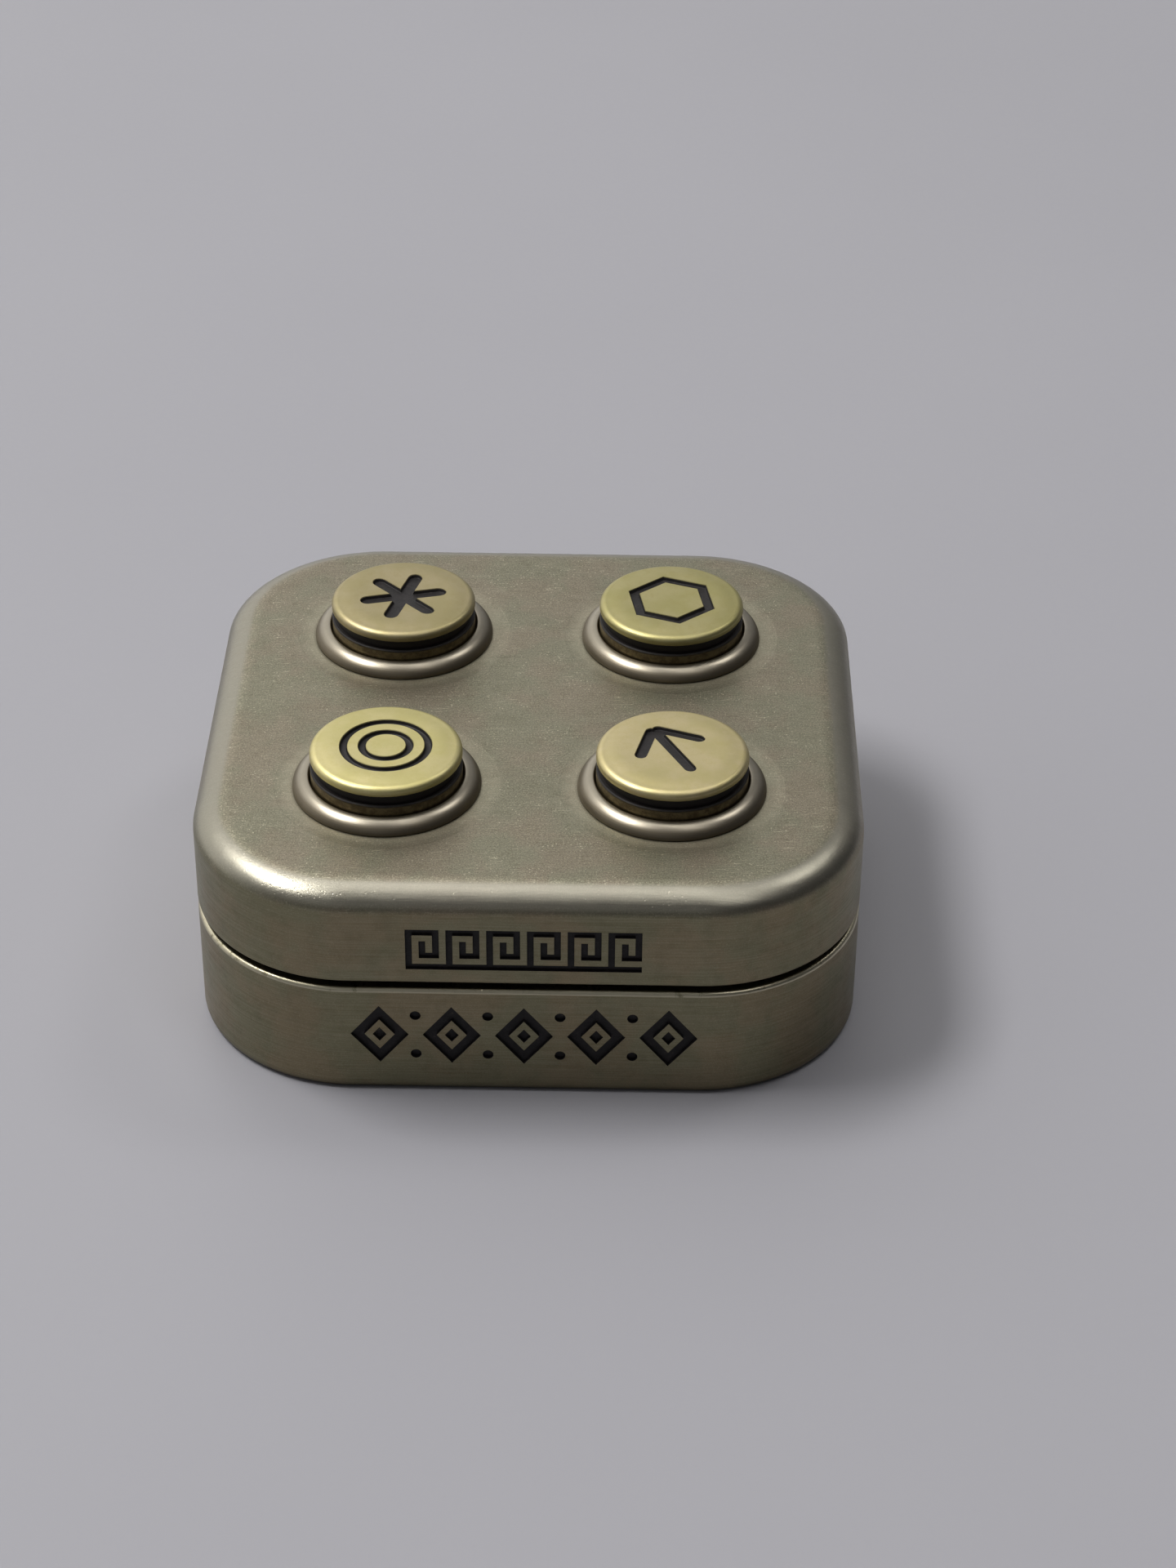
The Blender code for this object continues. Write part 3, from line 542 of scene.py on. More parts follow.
def nickel_finish(name, tint, low, high, rim_down):
    """Aged nickel: brushed lines, mottled tone, tiny bright nicks and glints, painted shade on the sides
    and in the crevices, and painted highlights on the top edges, partly also wear.

    low and high are the half's bottom and top; rim_down is the height of its soft top edge, or 0.
    """
    paint = Finish(name, Metallic=1.0)
    spot = paint.place()
    x, y, z = paint.parts(spot)
    on_top = z.fade((high - rim_down) / MM - 0.1, high / MM - 0.5) if rim_down else 0.0

    side_lines = paint.noise(paint.place(scale=(0.14, 0.14, 9.0)), 1.0, 4.0, 0.65)
    top_lines = paint.noise(paint.place(scale=(0.16, 8.0, 1.0)), 1.0, 4.0, 0.65)
    lines = side_lines + (top_lines - side_lines) * on_top
    hairs_side = paint.noise(paint.place(scale=(0.5, 0.5, 26.0)), 1.0, 2.0, 0.6)
    hairs_top = paint.noise(paint.place(scale=(0.55, 24.0, 1.0)), 1.0, 2.0, 0.6)
    hairs = hairs_side + (hairs_top - hairs_side) * on_top
    slanted = paint.node("ShaderNodeCombineXYZ", {},
                         {0: (x + y * 0.12) * 0.55, 1: (y - x * 0.12) * 9.0, 2: 3.0})

    cloud = paint.noise(spot, 0.13, 3.0, 0.6)
    hue = paint.noise(paint.place(centre=(31.0, 17.0, 5.0)), 0.24, 3.0, 0.6)
    blotch = paint.noise(spot, 0.85, 5.0, 0.7)
    grain = paint.noise(spot, 5.5, 3.0, 0.75)
    nick_cells = paint.node("ShaderNodeTexVoronoi", {"feature": "F1"}, {"Vector": spot, "Scale": 3.1})
    nick_pick = paint.noise(spot, 0.45, 3.0, 0.7)
    nicks = nick_cells.fade(0.22, 0.10) * nick_pick.fade(0.48, 0.58)
    fine = paint.noise(spot, 10.0, 2.0, 0.7)
    scratches = paint.noise(slanted, 1.0, 2.0, 0.6).fade(0.61, 0.70) * nick_pick.fade(0.44, 0.56) * on_top
    tooth = 0.22 + on_top * 0.78

    # Painted shade: the sides take a darker, warmer copy of the nickel than the tops
    shaded_side_tint = tuple(part * share for part, share in zip(tint, SIDE_SHADE_SHARES))
    green = paint.mix(on_top, shade((shaded_side_tint[0] * 0.93, shaded_side_tint[1] * 0.97, shaded_side_tint[2] * 0.95)),
                      shade((tint[0] * 0.96, tint[1], tint[2] * 0.98)))
    brown = paint.mix(on_top, shade((shaded_side_tint[0] * 1.05, shaded_side_tint[1] * 0.97, shaded_side_tint[2] * 0.95)),
                      shade((tint[0] * 1.05, tint[1] * 0.99, tint[2])))
    base = paint.mix(hue.fade(0.38, 0.62), green, brown)
    clouded = paint.dim(cloud.fade(0.36, 0.66) * 0.30, base, (0.80, 0.79, 0.77))
    mottled = paint.dim(blotch.fade(0.44, 0.70) * 0.55, clouded, (0.78, 0.77, 0.74))
    grained = paint.dim(grain.fade(0.58, 0.40) * tooth * 0.50, mottled, (0.60, 0.59, 0.57))
    pitted = paint.dim(fine.fade(0.54, 0.38) * tooth * 0.62, grained, (0.62, 0.61, 0.59))
    glinting = paint.mix(fine.fade(0.55, 0.68) * tooth * 0.55, pitted, shade(tint, 1.9))
    line_tone = lines.fade(0.30, 0.72)
    brushed = paint.mix(line_tone * 0.24, glinting, shade(tint, 1.22))
    hair_tone = paint.dim(hairs.fade(0.60, 0.40) * 0.20, brushed, (0.66, 0.65, 0.63))
    nicked = paint.mix((nicks * on_top * 0.5 + scratches * 0.4).clamp(), hair_tone, shade(tint, 2.2))
    # Partly wear, partly painted highlight: the upper half's soft rim is painted a whiter, bluer nickel and
    # made smoother
    rim_highlight_tint = (tint[0] * 1.02, tint[1] * 1.04, tint[2] * 1.16)
    rim_wear_and_highlight = z.fade((high - rim_down) / MM + 0.2, high / MM - 0.7)
    rim_wear_and_highlight = rim_wear_and_highlight * z.fade(high / MM - 0.02, high / MM - 0.12) if rim_down else 0.0
    polished = paint.mix(rim_wear_and_highlight * 0.8, nicked, shade(rim_highlight_tint))
    if rim_down:
        # Partly wear, partly painted highlight: a lighter ring round each bezel on the top
        polished = paint.mix(bezel_wear_and_highlight(x, y, blotch) * on_top, polished, shade(tint, 1.42))
    # Painted shade: dark brown along the seam, round the bezels and low on the lower half
    patina = painted_shade_mask(x, y, z, low, high, blotch, bool(rim_down))
    toned = paint.mix(patina, polished, (0.085, 0.070, 0.050, 1.0))
    # Painted highlight: on the lower half a thin blotchy band at the top bevel is painted twice as bright
    # and made smoother
    worn = 0.0 if rim_down else z.fade(high / MM - 0.34, high / MM - 0.22) * blotch.fade(0.30, 0.46)
    with_edge_highlight = paint.mix(worn * 0.8, toned, shade(tint, 2.0))

    roughness = 0.37 + (blotch - 0.5) * 0.14 + (1.0 - line_tone) * 0.06
    roughness = roughness + patina * 0.12 - worn * 0.08 - rim_wear_and_highlight * 0.06
    height = lines * 0.35 + hairs * 0.45 + grain * 0.55 - nicks * 0.6
    normal = paint.bump(height, 0.014 * MM, 0.8)
    waves = paint.noise(spot, 0.35, 2.0, 0.5)
    normal = paint.bump(waves, 0.05 * MM, 0.5, normal)
    return paint.feed(Base_Color=with_edge_highlight, Roughness=roughness.clamp(), Normal=normal)


def from_bezel(x, y):
    """Distance in mm from the axis of the nearest button."""
    from_x = abs(x) - BUTTON_PITCH / 2.0 / MM
    from_y = abs(y) - BUTTON_PITCH / 2.0 / MM
    return (from_x * from_x + from_y * from_y) ** 0.5


def bezel_wear_and_highlight(x, y, blotch):
    """The lighter ring round each bezel: partly rubbed wear, partly painted highlight."""
    reach = from_bezel(x, y) + (blotch - 0.5) * 1.4
    return reach.fade(BEZEL_OUTER / MM + 1.8, BEZEL_OUTER / MM + 0.3) * 0.36


def painted_shade_mask(x, y, z, low, high, blotch, has_bezels):
    """Where painted shade darkens the halves: along the seam, round each bezel's base and in a faint ragged
    ring round it, and along the bottom of the lower half.
    """
    ragged = (blotch - 0.5) * 0.5
    # Painted shade: the lower half darkens towards its bottom, where it meets the table
    if not has_bezels:
        return ((z + ragged * 0.8).fade(0.9, 0.15) * 0.55).clamp()
    # Painted shade in the seam: the upper half darkens along its bottom edge
    seam = (z + ragged * 0.3).fade(low / MM + 0.18, low / MM + 0.02) * 0.4
    reach = from_bezel(x, y)
    foot_radius = BEZEL_OUTER / MM
    # Painted shade: a thin dark line round each bezel's base
    line = (reach + ragged * 0.25).fade(foot_radius + 0.22, foot_radius) * 0.25
    # Painted shade: a faint ragged dark ring round each bezel
    stain = (reach + ragged * 2.4).fade(foot_radius + 2.2, foot_radius + 0.2)
    stain = stain * blotch.fade(0.36, 0.62) * 0.08
    on_top = z.fade(high / MM - 0.8, high / MM - 0.4)
    return (seam + (line + stain) * on_top).clamp()


def patina_finish(name, tint):
    """Dark fill of the engravings: almost black, with worn glints of metal."""
    paint = Finish(name, Metallic=0.0, Specular_IOR_Level=0.25)
    spot = paint.place()
    cloud = paint.noise(spot, 1.3, 4.0, 0.7)
    grain = paint.noise(spot, 7.0, 2.0, 0.6)
    light = (tint[0] * 1.2, tint[1] * 1.15, tint[2] * 1.2, 1.0)
    base = paint.mix(cloud.fade(0.35, 0.7), shade(tint, 0.7), light)
    worn = paint.mix(cloud.fade(0.60, 0.74) * grain.fade(0.42, 0.62) * 0.55, base, (0.13, 0.105, 0.07, 1.0))
    normal = paint.bump(grain + cloud, 0.02 * MM, 0.7)
    return paint.feed(Base_Color=worn, Roughness=(0.50 + (grain - 0.5) * 0.3).clamp(), Normal=normal)


def bezel_finish(name, tint, centre):
    """Turned nickel, left bright on the crest, with painted shade on its lower outer side and into its
    bore.
    """
    paint = Finish(name, Metallic=1.0)
    spot = paint.place((*centre, 0.0))
    x, y, z = paint.parts(spot)
    reach = (x * x + y * y) ** 0.5
    cloud = paint.noise(spot, 0.9, 4.0, 0.65)
    grain = paint.noise(spot, 12.0, 2.0, 0.6)
    lathe = paint.noise(paint.node("ShaderNodeCombineXYZ", {}, {0: reach, 1: z}), 16.0, 2.0, 0.6)
    ragged = (cloud - 0.5) * 0.4
    # Painted shade: the bezel's lower outer side darkens towards the top plate
    lower_side_shade = (z + ragged * 0.4).fade(UPPER_TOP / MM + 0.80, UPPER_TOP / MM + 0.48) * 0.7
    # Painted shade: the inner edge darkens down into the bore
    bore = (reach + ragged * 0.2).fade(BEZEL_OUTER / MM - 1.04, BEZEL_OUTER / MM - 1.12) * 0.9
    base = paint.mix(cloud.fade(0.38, 0.66) * 0.4, shade(tint), shade(tint, 0.80))
    lined = paint.mix(lathe.fade(0.62, 0.42) * 0.25, base, shade(tint, 0.74))
    dark = (lower_side_shade + bore).clamp()
    toned = paint.mix(dark, lined, (0.105, 0.083, 0.052, 1.0))
    roughness = 0.32 + (cloud - 0.5) * 0.12 + dark * 0.2
    normal = paint.bump(lathe * 0.5 + grain * 0.5, 0.006 * MM, 0.8)
    return paint.feed(Base_Color=toned, Roughness=roughness.clamp(), Normal=normal)


def brass_finish(name, tint, centre, sizes, seed):
    """Satin brass with painted shade in the side groove and just above it, a lower band partly stained and
    partly painted shade, and fine wear on the cap.
    """
    paint = Finish(name, Metallic=1.0)
    spot = paint.place((*centre, 0.0))
    z = paint.parts(spot)[2]
    moved = paint.node("ShaderNodeVectorMath", {"operation": "ADD"}, {0: spot, 1: (seed, seed * 0.7, 0.0)})
    cloud = paint.noise(moved, 0.32, 3.0, 0.6)
    blotch = paint.noise(moved, 1.5, 4.0, 0.7)
    grain = paint.noise(moved, 14.0, 2.0, 0.7)
    hairs = paint.noise(paint.place((*centre, 0.0), (0.8, 18.0, 1.0)), 1.0, 2.0, 0.6)

    light = shade((tint[0], tint[1] * 0.985, tint[2] * 1.12), 1.04)
    warm = shade((tint[0], tint[1] * 0.96, tint[2] * 0.8), 0.86)
    brown = shade((tint[0] * 0.85, tint[1] * 0.78, tint[2] * 0.5), 0.55)
    base = paint.mix(cloud.fade(0.36, 0.64), shade(tint, 0.94), light)
    mottled = paint.mix(blotch.fade(0.45, 0.72) * 0.3, base, warm)
    fine = paint.mix(grain.fade(0.60, 0.38) * 0.14, mottled, shade(tint, 0.78))

    disc_bottom = (CAP_TOP - sizes.cap_side) / MM
    groove_bottom = disc_bottom - sizes.groove_height / MM
    ragged = (blotch - 0.5) * 0.55
    level = z + ragged * 0.5
    stain = (blotch + grain * 0.25).fade(0.74, 0.50) * 0.6
    band = level.fade(groove_bottom, groove_bottom - 0.12)
    # Partly stain, partly painted shade: the lower band, down inside the bezel, is dark brown with darker
    # patches
    lower_band_stain_and_shade = paint.mix(stain, (0.235, 0.190, 0.105, 1.0), (0.075, 0.055, 0.034, 1.0))
    # Painted shade: the cap's side darkens towards the groove
    side_shade = level.fade(disc_bottom + 0.32, disc_bottom - 0.02)
    darkened = paint.mix(side_shade * 0.35, fine, brown)
    banded = paint.mix(band, darkened, lower_band_stain_and_shade)
    # Painted shade: the side groove is painted near black and less metallic
    black = level.fade(disc_bottom + 0.07, disc_bottom - 0.03)
    black = black * level.fade(groove_bottom - 0.24, groove_bottom - 0.06)
    toned = paint.mix(black, banded, (0.012, 0.009, 0.008, 1.0))

    dark = (black + band * stain).clamp()
    roughness = 0.45 + (blotch - 0.5) * 0.12 + dark * 0.12
    normal = paint.bump(grain * 0.6 + hairs * 0.3, 0.008 * MM, 0.7)
    metallic = 1.0 - black * 0.7
    return paint.feed(Base_Color=toned, Roughness=roughness.clamp(), Metallic=metallic.clamp(),
                      Normal=normal)


# ---------------------------------------------------------------- finishes of the inner pieces

def moulded_finish(name, tint, roughness):
    """Moulded slippery plastic: fine pebble grain, slide marks and a little dust."""
    paint = Finish(name, Metallic=0.0)
    spot = paint.place()
    pebble = paint.node("ShaderNodeTexVoronoi", {"feature": "SMOOTH_F1"}, {"Vector": spot, "Scale": 7.0})
    cloud = paint.noise(spot, 0.5, 4.0, 0.6)
    marks = paint.noise(paint.place(scale=(0.25, 7.0, 1.0)), 1.0, 3.0, 0.6)
    base = paint.mix(cloud.fade(0.35, 0.68), shade(tint, 0.85), shade(tint, 1.2))
    pale = shade([part + 0.03 for part in tint], 1.2)
    rubbed = paint.mix(marks.fade(0.58, 0.72) * 0.25, base, pale)
    rough = roughness + (cloud - 0.5) * 0.2 - marks.fade(0.55, 0.7) * 0.12
    normal = paint.bump(pebble * 0.6 + marks * 0.3, 0.02 * MM, 0.6)
    return paint.feed(Base_Color=rubbed, Roughness=rough.clamp(), Normal=normal)


def plated_finish(name, tint, roughness, stretch=(1.0, 1.0, 1.0), wear=0.3):
    """Plated or oxide metal: soft clouds, drawn or rolled lines and small worn spots."""
    paint = Finish(name, Metallic=1.0)
    spot = paint.place()
    cloud = paint.noise(spot, 0.9, 4.0, 0.65)
    lines = paint.noise(paint.place(scale=stretch), 6.0, 3.0, 0.6)
    spots = paint.noise(spot, 3.2, 3.0, 0.7)
    base = paint.mix(cloud.fade(0.36, 0.66), shade(tint, 0.88), shade(tint, 1.1))
    lined = paint.mix(lines.fade(0.6, 0.4) * 0.25, base, shade(tint, 0.75))
    worn = paint.mix(spots.fade(0.62, 0.74) * wear, lined, (0.42, 0.41, 0.39, 1.0))
    rough = roughness + (cloud - 0.5) * 0.15 + (lines - 0.5) * 0.1
    normal = paint.bump(lines + spots * 0.5, 0.008 * MM, 0.7)
    return paint.feed(Base_Color=worn, Roughness=rough.clamp(), Normal=normal)


def floor_finish(name, tint):
    """Pale matt table top with a faint cloudiness and a few small marks."""
    paint = Finish(name, Metallic=0.0)
    spot = paint.place()
    cloud = paint.noise(spot, 0.012, 3.0, 0.5)
    fine = paint.noise(spot, 1.6, 3.0, 0.6)
    base = paint.mix(cloud.fade(0.3, 0.7), shade(tint, 0.985), shade(tint, 1.015))
    specked = paint.mix(fine.fade(0.66, 0.8) * 0.08, base, shade(tint, 0.8))
    normal = paint.bump(fine, 0.02 * MM, 0.15)
    return paint.feed(Base_Color=specked, Roughness=(0.62 + (fine - 0.5) * 0.1).clamp(), Normal=normal)


# ---------------------------------------------------------------- the two metal halves

MEANDER = ("#####.", "#...#.", "#.#.#.", "#.#.#.", "#.###.", "#.....", "######")


def meander_band(name, face_y, middle_z, units, cell, depth):
    """Cutter for a running square meander on the front; cell is its (width, height)."""
    rows = len(MEANDER)
    columns = units * len(MEANDER[0]) - 1
    width, height = columns * cell[0], rows * cell[1]
    deselect()
    bpy.ops.mesh.primitive_grid_add(x_subdivisions=columns, y_subdivisions=rows, size=1.0,
                                    location=(0.0, face_y - depth, middle_z),
                                    rotation=(math.pi / 2.0, 0.0, 0.0))
    band = settle(named(name, (width, height, 1.0)))

    def is_plain(face):
        middle = face.calc_center_median()
        column = int((middle.x + width / 2.0) / cell[0])
        row = int((middle_z + height / 2.0 - middle.z) / cell[1])
        return MEANDER[row][column % len(MEANDER[0])] == "."

    pick(band, "FACE", is_plain)
    bpy.ops.mesh.delete(type="FACE")
    raise_all(band, (0.0, 2.0 * depth, 0.0))
    return band


def raise_all(sheet, move):
    """Give a flat sheet its thickness by extruding all of it."""
    pick(sheet, "FACE", lambda face: True)
    bpy.ops.mesh.extrude_region_move(TRANSFORM_OT_translate={"value": move})
    bpy.ops.object.mode_set(mode="OBJECT")
    outwards(sheet)


def front_shape(name, sides, size, place, depth, line=0.0):
    """Cutter for one lozenge (four sides) or dot on the front; line makes it a frame."""
    x, face_y, z = place
    deselect()
    bpy.ops.mesh.primitive_circle_add(vertices=sides, radius=0.5, fill_type="NGON",
                                      location=(x, face_y - depth, z), rotation=(math.pi / 2.0, 0.0, 0.0))
    shape = settle(named(name, (size[0], size[1], 1.0)))
    if line:
        pick(shape, "FACE", lambda face: True)
        bpy.ops.mesh.inset(thickness=line, depth=0.0, use_even_offset=True)
        bpy.ops.mesh.delete(type="FACE")
    raise_all(shape, (0.0, 2.0 * depth, 0.0))
    return shape


def lozenge_band(name, face_y, middle_z, count, size, line, depth):
    """Cutter for a row of framed lozenges with pairs of dots between them."""
    width, height = size
    step = width * 1.24
    shapes = []
    for index in range(count):
        x = (index - (count - 1) / 2.0) * step
        place = (x, face_y, middle_z)
        shapes.append(front_shape(f"{name}_frame_{index}", 4, size, place, depth, line))
        shapes.append(front_shape(f"{name}_heart_{index}", 4, (width * 0.24, height * 0.24), place, depth))
    for index in range(count - 1):
        x = (index - (count - 2) / 2.0) * step
        for side in (-1, 1):
            place = (x, face_y, middle_z + side * height * 0.34)
            shapes.append(front_shape(f"{name}_dot_{index}_{side}", 32, (line, line), place, depth))
    return group(name, shapes)


def bevel_ring(shell, level, width, segments):
    """Bevel the outer edges that lie at one height."""
    def lies_there(edge):
        at_level = all(abs(vertex.co.z - level) < 0.001 * MM for vertex in edge.verts)
        return at_level and len(edge.link_faces) == 2

    pick(shell, "EDGE", lies_there)
    bpy.ops.mesh.bevel(offset=width, segments=segments, profile=0.5, affect="EDGES")


def hollow(shell, direction, edge, wall, depth):
    """Inset the open face of a half to its wall and push it in to make the cavity."""
    pick(shell, "FACE", facing((0.0, 0.0, direction)))
    bpy.ops.mesh.inset(thickness=wall - edge, depth=0.0, use_even_offset=True)
    bpy.ops.mesh.extrude_region_move(TRANSFORM_OT_translate={"value": (0.0, 0.0, -direction * depth)})
    bpy.ops.object.mode_set(mode="OBJECT")


def add_bosses(shell, name, low, high, bore_low, bore_high):
    """Four screw bosses with their pilot holes."""
    for number, (side_x, side_y) in enumerate(SCREW_PLACES, start=1):
        place = (side_x * SCREW_OFFSET, side_y * SCREW_OFFSET)
        boss = [(BOSS_RADIUS, low), (BOSS_RADIUS, high)]
        combine(shell, turn_up(f"{name}_{number}", place, boss, 48), "UNION")
        pilot = [(PILOT_RADIUS, bore_low), (PILOT_RADIUS, bore_high)]
        cut(shell, turn_up(f"{name}_pilot_{number}", place, pilot, 32))


def build_lower_half(sizes, tints):
    """The cup on the table, with its bevelled seam edge painted with a highlight, bosses and the lozenge
    band.
    """
    metal = nickel_finish("aged_nickel_lower", tints.nickel, 0.0, LOWER_TOP, 0.0)
    dark = patina_finish("patina_lower", tints.patina)
    shell = rounded_block("nickel_lower_half", BODY_SIDE, sizes.corner_radius, 0.0, LOWER_TOP)
    shell.data.materials.append(metal)
    bevel_ring(shell, 0.0, sizes.base_edge, 5)
    bevel_ring(shell, LOWER_TOP, sizes.top_bevel, 4)
    hollow(shell, 1.0, sizes.top_bevel, WALL, LOWER_TOP - LOWER_FLOOR)
    add_bosses(shell, "lower_boss", LOWER_FLOOR - 1.0 * MM, TRAY_HIGH[2], SCREW_LOW[2] - SCREW_ROOM,
               LOWER_TOP)
    band = lozenge_band("lozenge_band", -BODY_SIDE / 2.0, LOZENGE_MIDDLE, LOZENGE_COUNT, LOZENGE_SIZE,
                        LOZENGE_LINE, LOZENGE_DEPTH)
    cut(shell, band, dark)
    outwards(shell)
    soften(shell)
    place_piece(shell, "lower_half", "lower_shell", "lower_shell")


def dish_outline(sizes):
    """The bezel bore's section: straight up the bore, then out over the shallow dish."""
    seat = BEZEL_OUTER + 0.03 * MM
    outline = [(BORE_RADIUS, CEILING - 0.5 * MM), (BORE_RADIUS, UPPER_TOP - 0.01 * MM),
               (seat, UPPER_TOP - 0.01 * MM)]
    count = 16
    for index in range(1, count):
        share = index / count
        depth = sizes.dish_depth * 0.5 * (1.0 - math.cos(2.0 * math.pi * share))
        outline.append((seat + sizes.dish_width * share, UPPER_TOP - 0.005 * MM - depth))
    edge = seat + sizes.dish_width
    return outline + [(edge, UPPER_TOP + 0.01 * MM), (edge, UPPER_TOP + 0.5 * MM)]


def build_upper_half(sizes, tints):
    """The cap with its soft rim, four bezel bores, shallow dishes and the meander band."""
    metal = nickel_finish("aged_nickel_upper", tints.nickel, UPPER_BOTTOM, UPPER_TOP, sizes.rim_down)
    dark = patina_finish("patina_upper", tints.patina)
    shell = rounded_block("nickel_upper_half", BODY_SIDE, sizes.corner_radius, UPPER_BOTTOM,
                          UPPER_TOP - sizes.rim_down)
    shell.data.materials.append(metal)
    pick(shell, "FACE", facing((0.0, 0.0, 1.0)))
    walk_in(rim_steps(sizes.rim_in, sizes.rim_down, 18, sizes.rim_squareness))
    bevel_ring(shell, UPPER_BOTTOM, sizes.seam_edge, 3)
    hollow(shell, -1.0, sizes.seam_edge, WALL, CEILING - UPPER_BOTTOM)
    seam_gap = UPPER_BOTTOM - LOWER_TOP
    add_bosses(shell, "upper_boss", SPRING_PLATE_TOP + REST_GAP, CEILING + 0.75 * MM,
               UPPER_BOTTOM + seam_gap, UPPER_SCREW_TOP + SCREW_ROOM)
    for name, (side_x, side_y) in BUTTON_PLACES.items():
        cut(shell, turn_up(f"bore_{name}", axis_of(side_x, side_y), dish_outline(sizes)), metal)
    band = meander_band("meander_band", -BODY_SIDE / 2.0, MEANDER_MIDDLE, MEANDER_UNITS, MEANDER_CELL,
                        MEANDER_DEPTH)
    cut(shell, band, dark)
    outwards(shell)
    soften(shell)
    place_piece(shell, "upper_half", "upper_shell", "upper_shell")


# ---------------------------------------------------------------- bezels and buttons

def bezel_outline(sizes):
    """The bezel's section: a soft shoulder on the face and a thin sleeve down the bore."""
    inner = sizes.cap_radius + sizes.bezel_gap
    crest = inner + sizes.bezel_crest
    seat = UPPER_TOP + REST_GAP
    inner_round = arc((crest, BEZEL_TOP - sizes.bezel_crest),
                      (sizes.bezel_crest, sizes.bezel_crest), 180.0, 90.0, 8)
    shoulder = arc((crest, seat), (BEZEL_OUTER - crest, BEZEL_TOP - seat),
                   90.0, 0.0, 18, sizes.bezel_squareness)
    sleeve = inner + sizes.sleeve_wall
    return inner_round + shoulder[1:] + [(sleeve, seat), (sleeve, BEZEL_BOTTOM), (inner, BEZEL_BOTTOM)]


def build_bezels(sizes, tints):
    """The four bright bezels round the buttons."""
    for name, (side_x, side_y) in BUTTON_PLACES.items():
        place = axis_of(side_x, side_y)
        ring = turn_ring(f"nickel_bezel_{name}", place, bezel_outline(sizes))
        ring.data.materials.append(bezel_finish(f"turned_nickel_{name}", tints.bezel, place))
        soften(ring, 40.0)
        place_piece(ring, "upper_half", "bezel", f"bezel_{name}")


def button_levels(sizes):
    """(radius, height) levels from the spring recess down, round the flange and up over the cap."""
    disc_bottom = CAP_TOP - sizes.cap_side
    groove_bottom = disc_bottom - sizes.groove_height
    groove = sizes.cap_radius - sizes.groove_depth
    flange_top = FLANGE_BOTTOM + sizes.flange_height
    turn = 0.08 * MM
    below = [
        (RECESS_RADIUS, WASHER_HIGH[2] + REST_GAP),
        (RECESS_RADIUS, FLANGE_BOTTOM),
        (FLANGE_RADIUS, FLANGE_BOTTOM),
        (FLANGE_RADIUS, flange_top),
        (sizes.cap_radius, flange_top),
        (sizes.cap_radius, groove_bottom - turn),
        (sizes.cap_radius - turn, groove_bottom),
        (groove, groove_bottom),
        (groove, disc_bottom),
        (sizes.cap_radius - turn, disc_bottom),
        (sizes.cap_radius, disc_bottom + turn),
    ]
    shoulder = sizes.cap_radius - sizes.edge_reach
    edge = arc((shoulder, CAP_TOP - sizes.crown_drop - sizes.edge_drop),
               (sizes.edge_reach, sizes.edge_drop), 0.0, 85.0, 14)
    crown = [(shoulder - sizes.crown_reach * share, CAP_TOP - sizes.crown_drop * (1.0 - share) ** 2)
             for share in (0.0, 0.25, 0.5, 0.75, 1.0)]
    return below + edge + crown


def wall_steps(depth):
    """(radial step, height) points of one engraved wall: a chamfer, a steep wall and a soft floor edge."""
    return [(0.10 * MM, 0.08 * MM), (0.0, -0.05 * MM), (-0.06 * MM, -depth * 0.86), (-0.12 * MM, -depth)]


def slot_sign(name, place, centre, size, turn, depth):
    """Cutter for a straight round-ended engraving whose walls lean in."""
    walls = wall_steps(depth)
    step, level = walls[0]
    length, width = (part + 2.0 * step for part in size)
    deselect()
    bpy.ops.mesh.primitive_cube_add(size=1.0, location=(0.0, 0.0, level + 0.05 * MM))
    slot = settle(named(name, (length, width, 0.1 * MM)))
    pick(slot, "EDGE", lambda edge: abs(edge.verts[0].co.z - edge.verts[1].co.z) > 0.05 * MM)
    bpy.ops.mesh.bevel(offset=width * 0.49, segments=12, profile=0.5, affect="EDGES")
    pick(slot, "FACE", facing((0.0, 0.0, -1.0)))
    for next_step, next_level in walls[1:]:
        shares = [(part + 2.0 * next_step) / (part + 2.0 * step) for part in size]
        bpy.ops.mesh.extrude_region_move(TRANSFORM_OT_translate={"value": (0.0, 0.0, next_level - level)})
        bpy.ops.transform.resize(value=(*shares, 1.0), center_override=(0.0, 0.0, next_level))
        step, level = next_step, next_level
    bpy.ops.object.mode_set(mode="OBJECT")
    slot.location = (place[0] + centre[0], place[1] + centre[1], CAP_TOP)
    slot.rotation_euler = (0.0, 0.0, turn)
    settle(slot)
    outwards(slot)
    return slot


def ring_sign(name, place, radius, line, sides, turn, depth):
    """Cutter for a ring-shaped engraving whose walls lean in."""
    walls = wall_steps(depth)
    outer = [(radius + line / 2.0 + step, CAP_TOP + level) for step, level in walls]
    inner = [(radius - line / 2.0 - step, CAP_TOP + level) for step, level in reversed(walls)]
    return turn_ring(name, place, outer + inner, sides, turn)


def star_sign(name, place, turn, depth):
    """Three crossing slots."""
    size = (6.2 * MM, 1.0 * MM)
    return [slot_sign(f"{name}_{number}", place, (0.0, 0.0), size, turn + number * math.pi / 3.0, depth)
            for number in range(3)]


def hexagon_sign(name, place, turn, depth):
    """A six-sided outline."""
    return [ring_sign(name, place, SIGN_REACH, 0.8 * MM, 6, turn, depth)]


def rings_sign(name, place, turn, depth):
    """Two rings, one inside the other."""
    return [ring_sign(f"{name}_{number}", place, radius, 0.5 * MM, 96, turn, depth)
            for number, radius in enumerate((SIGN_REACH, SIGN_REACH - 1.25 * MM))]


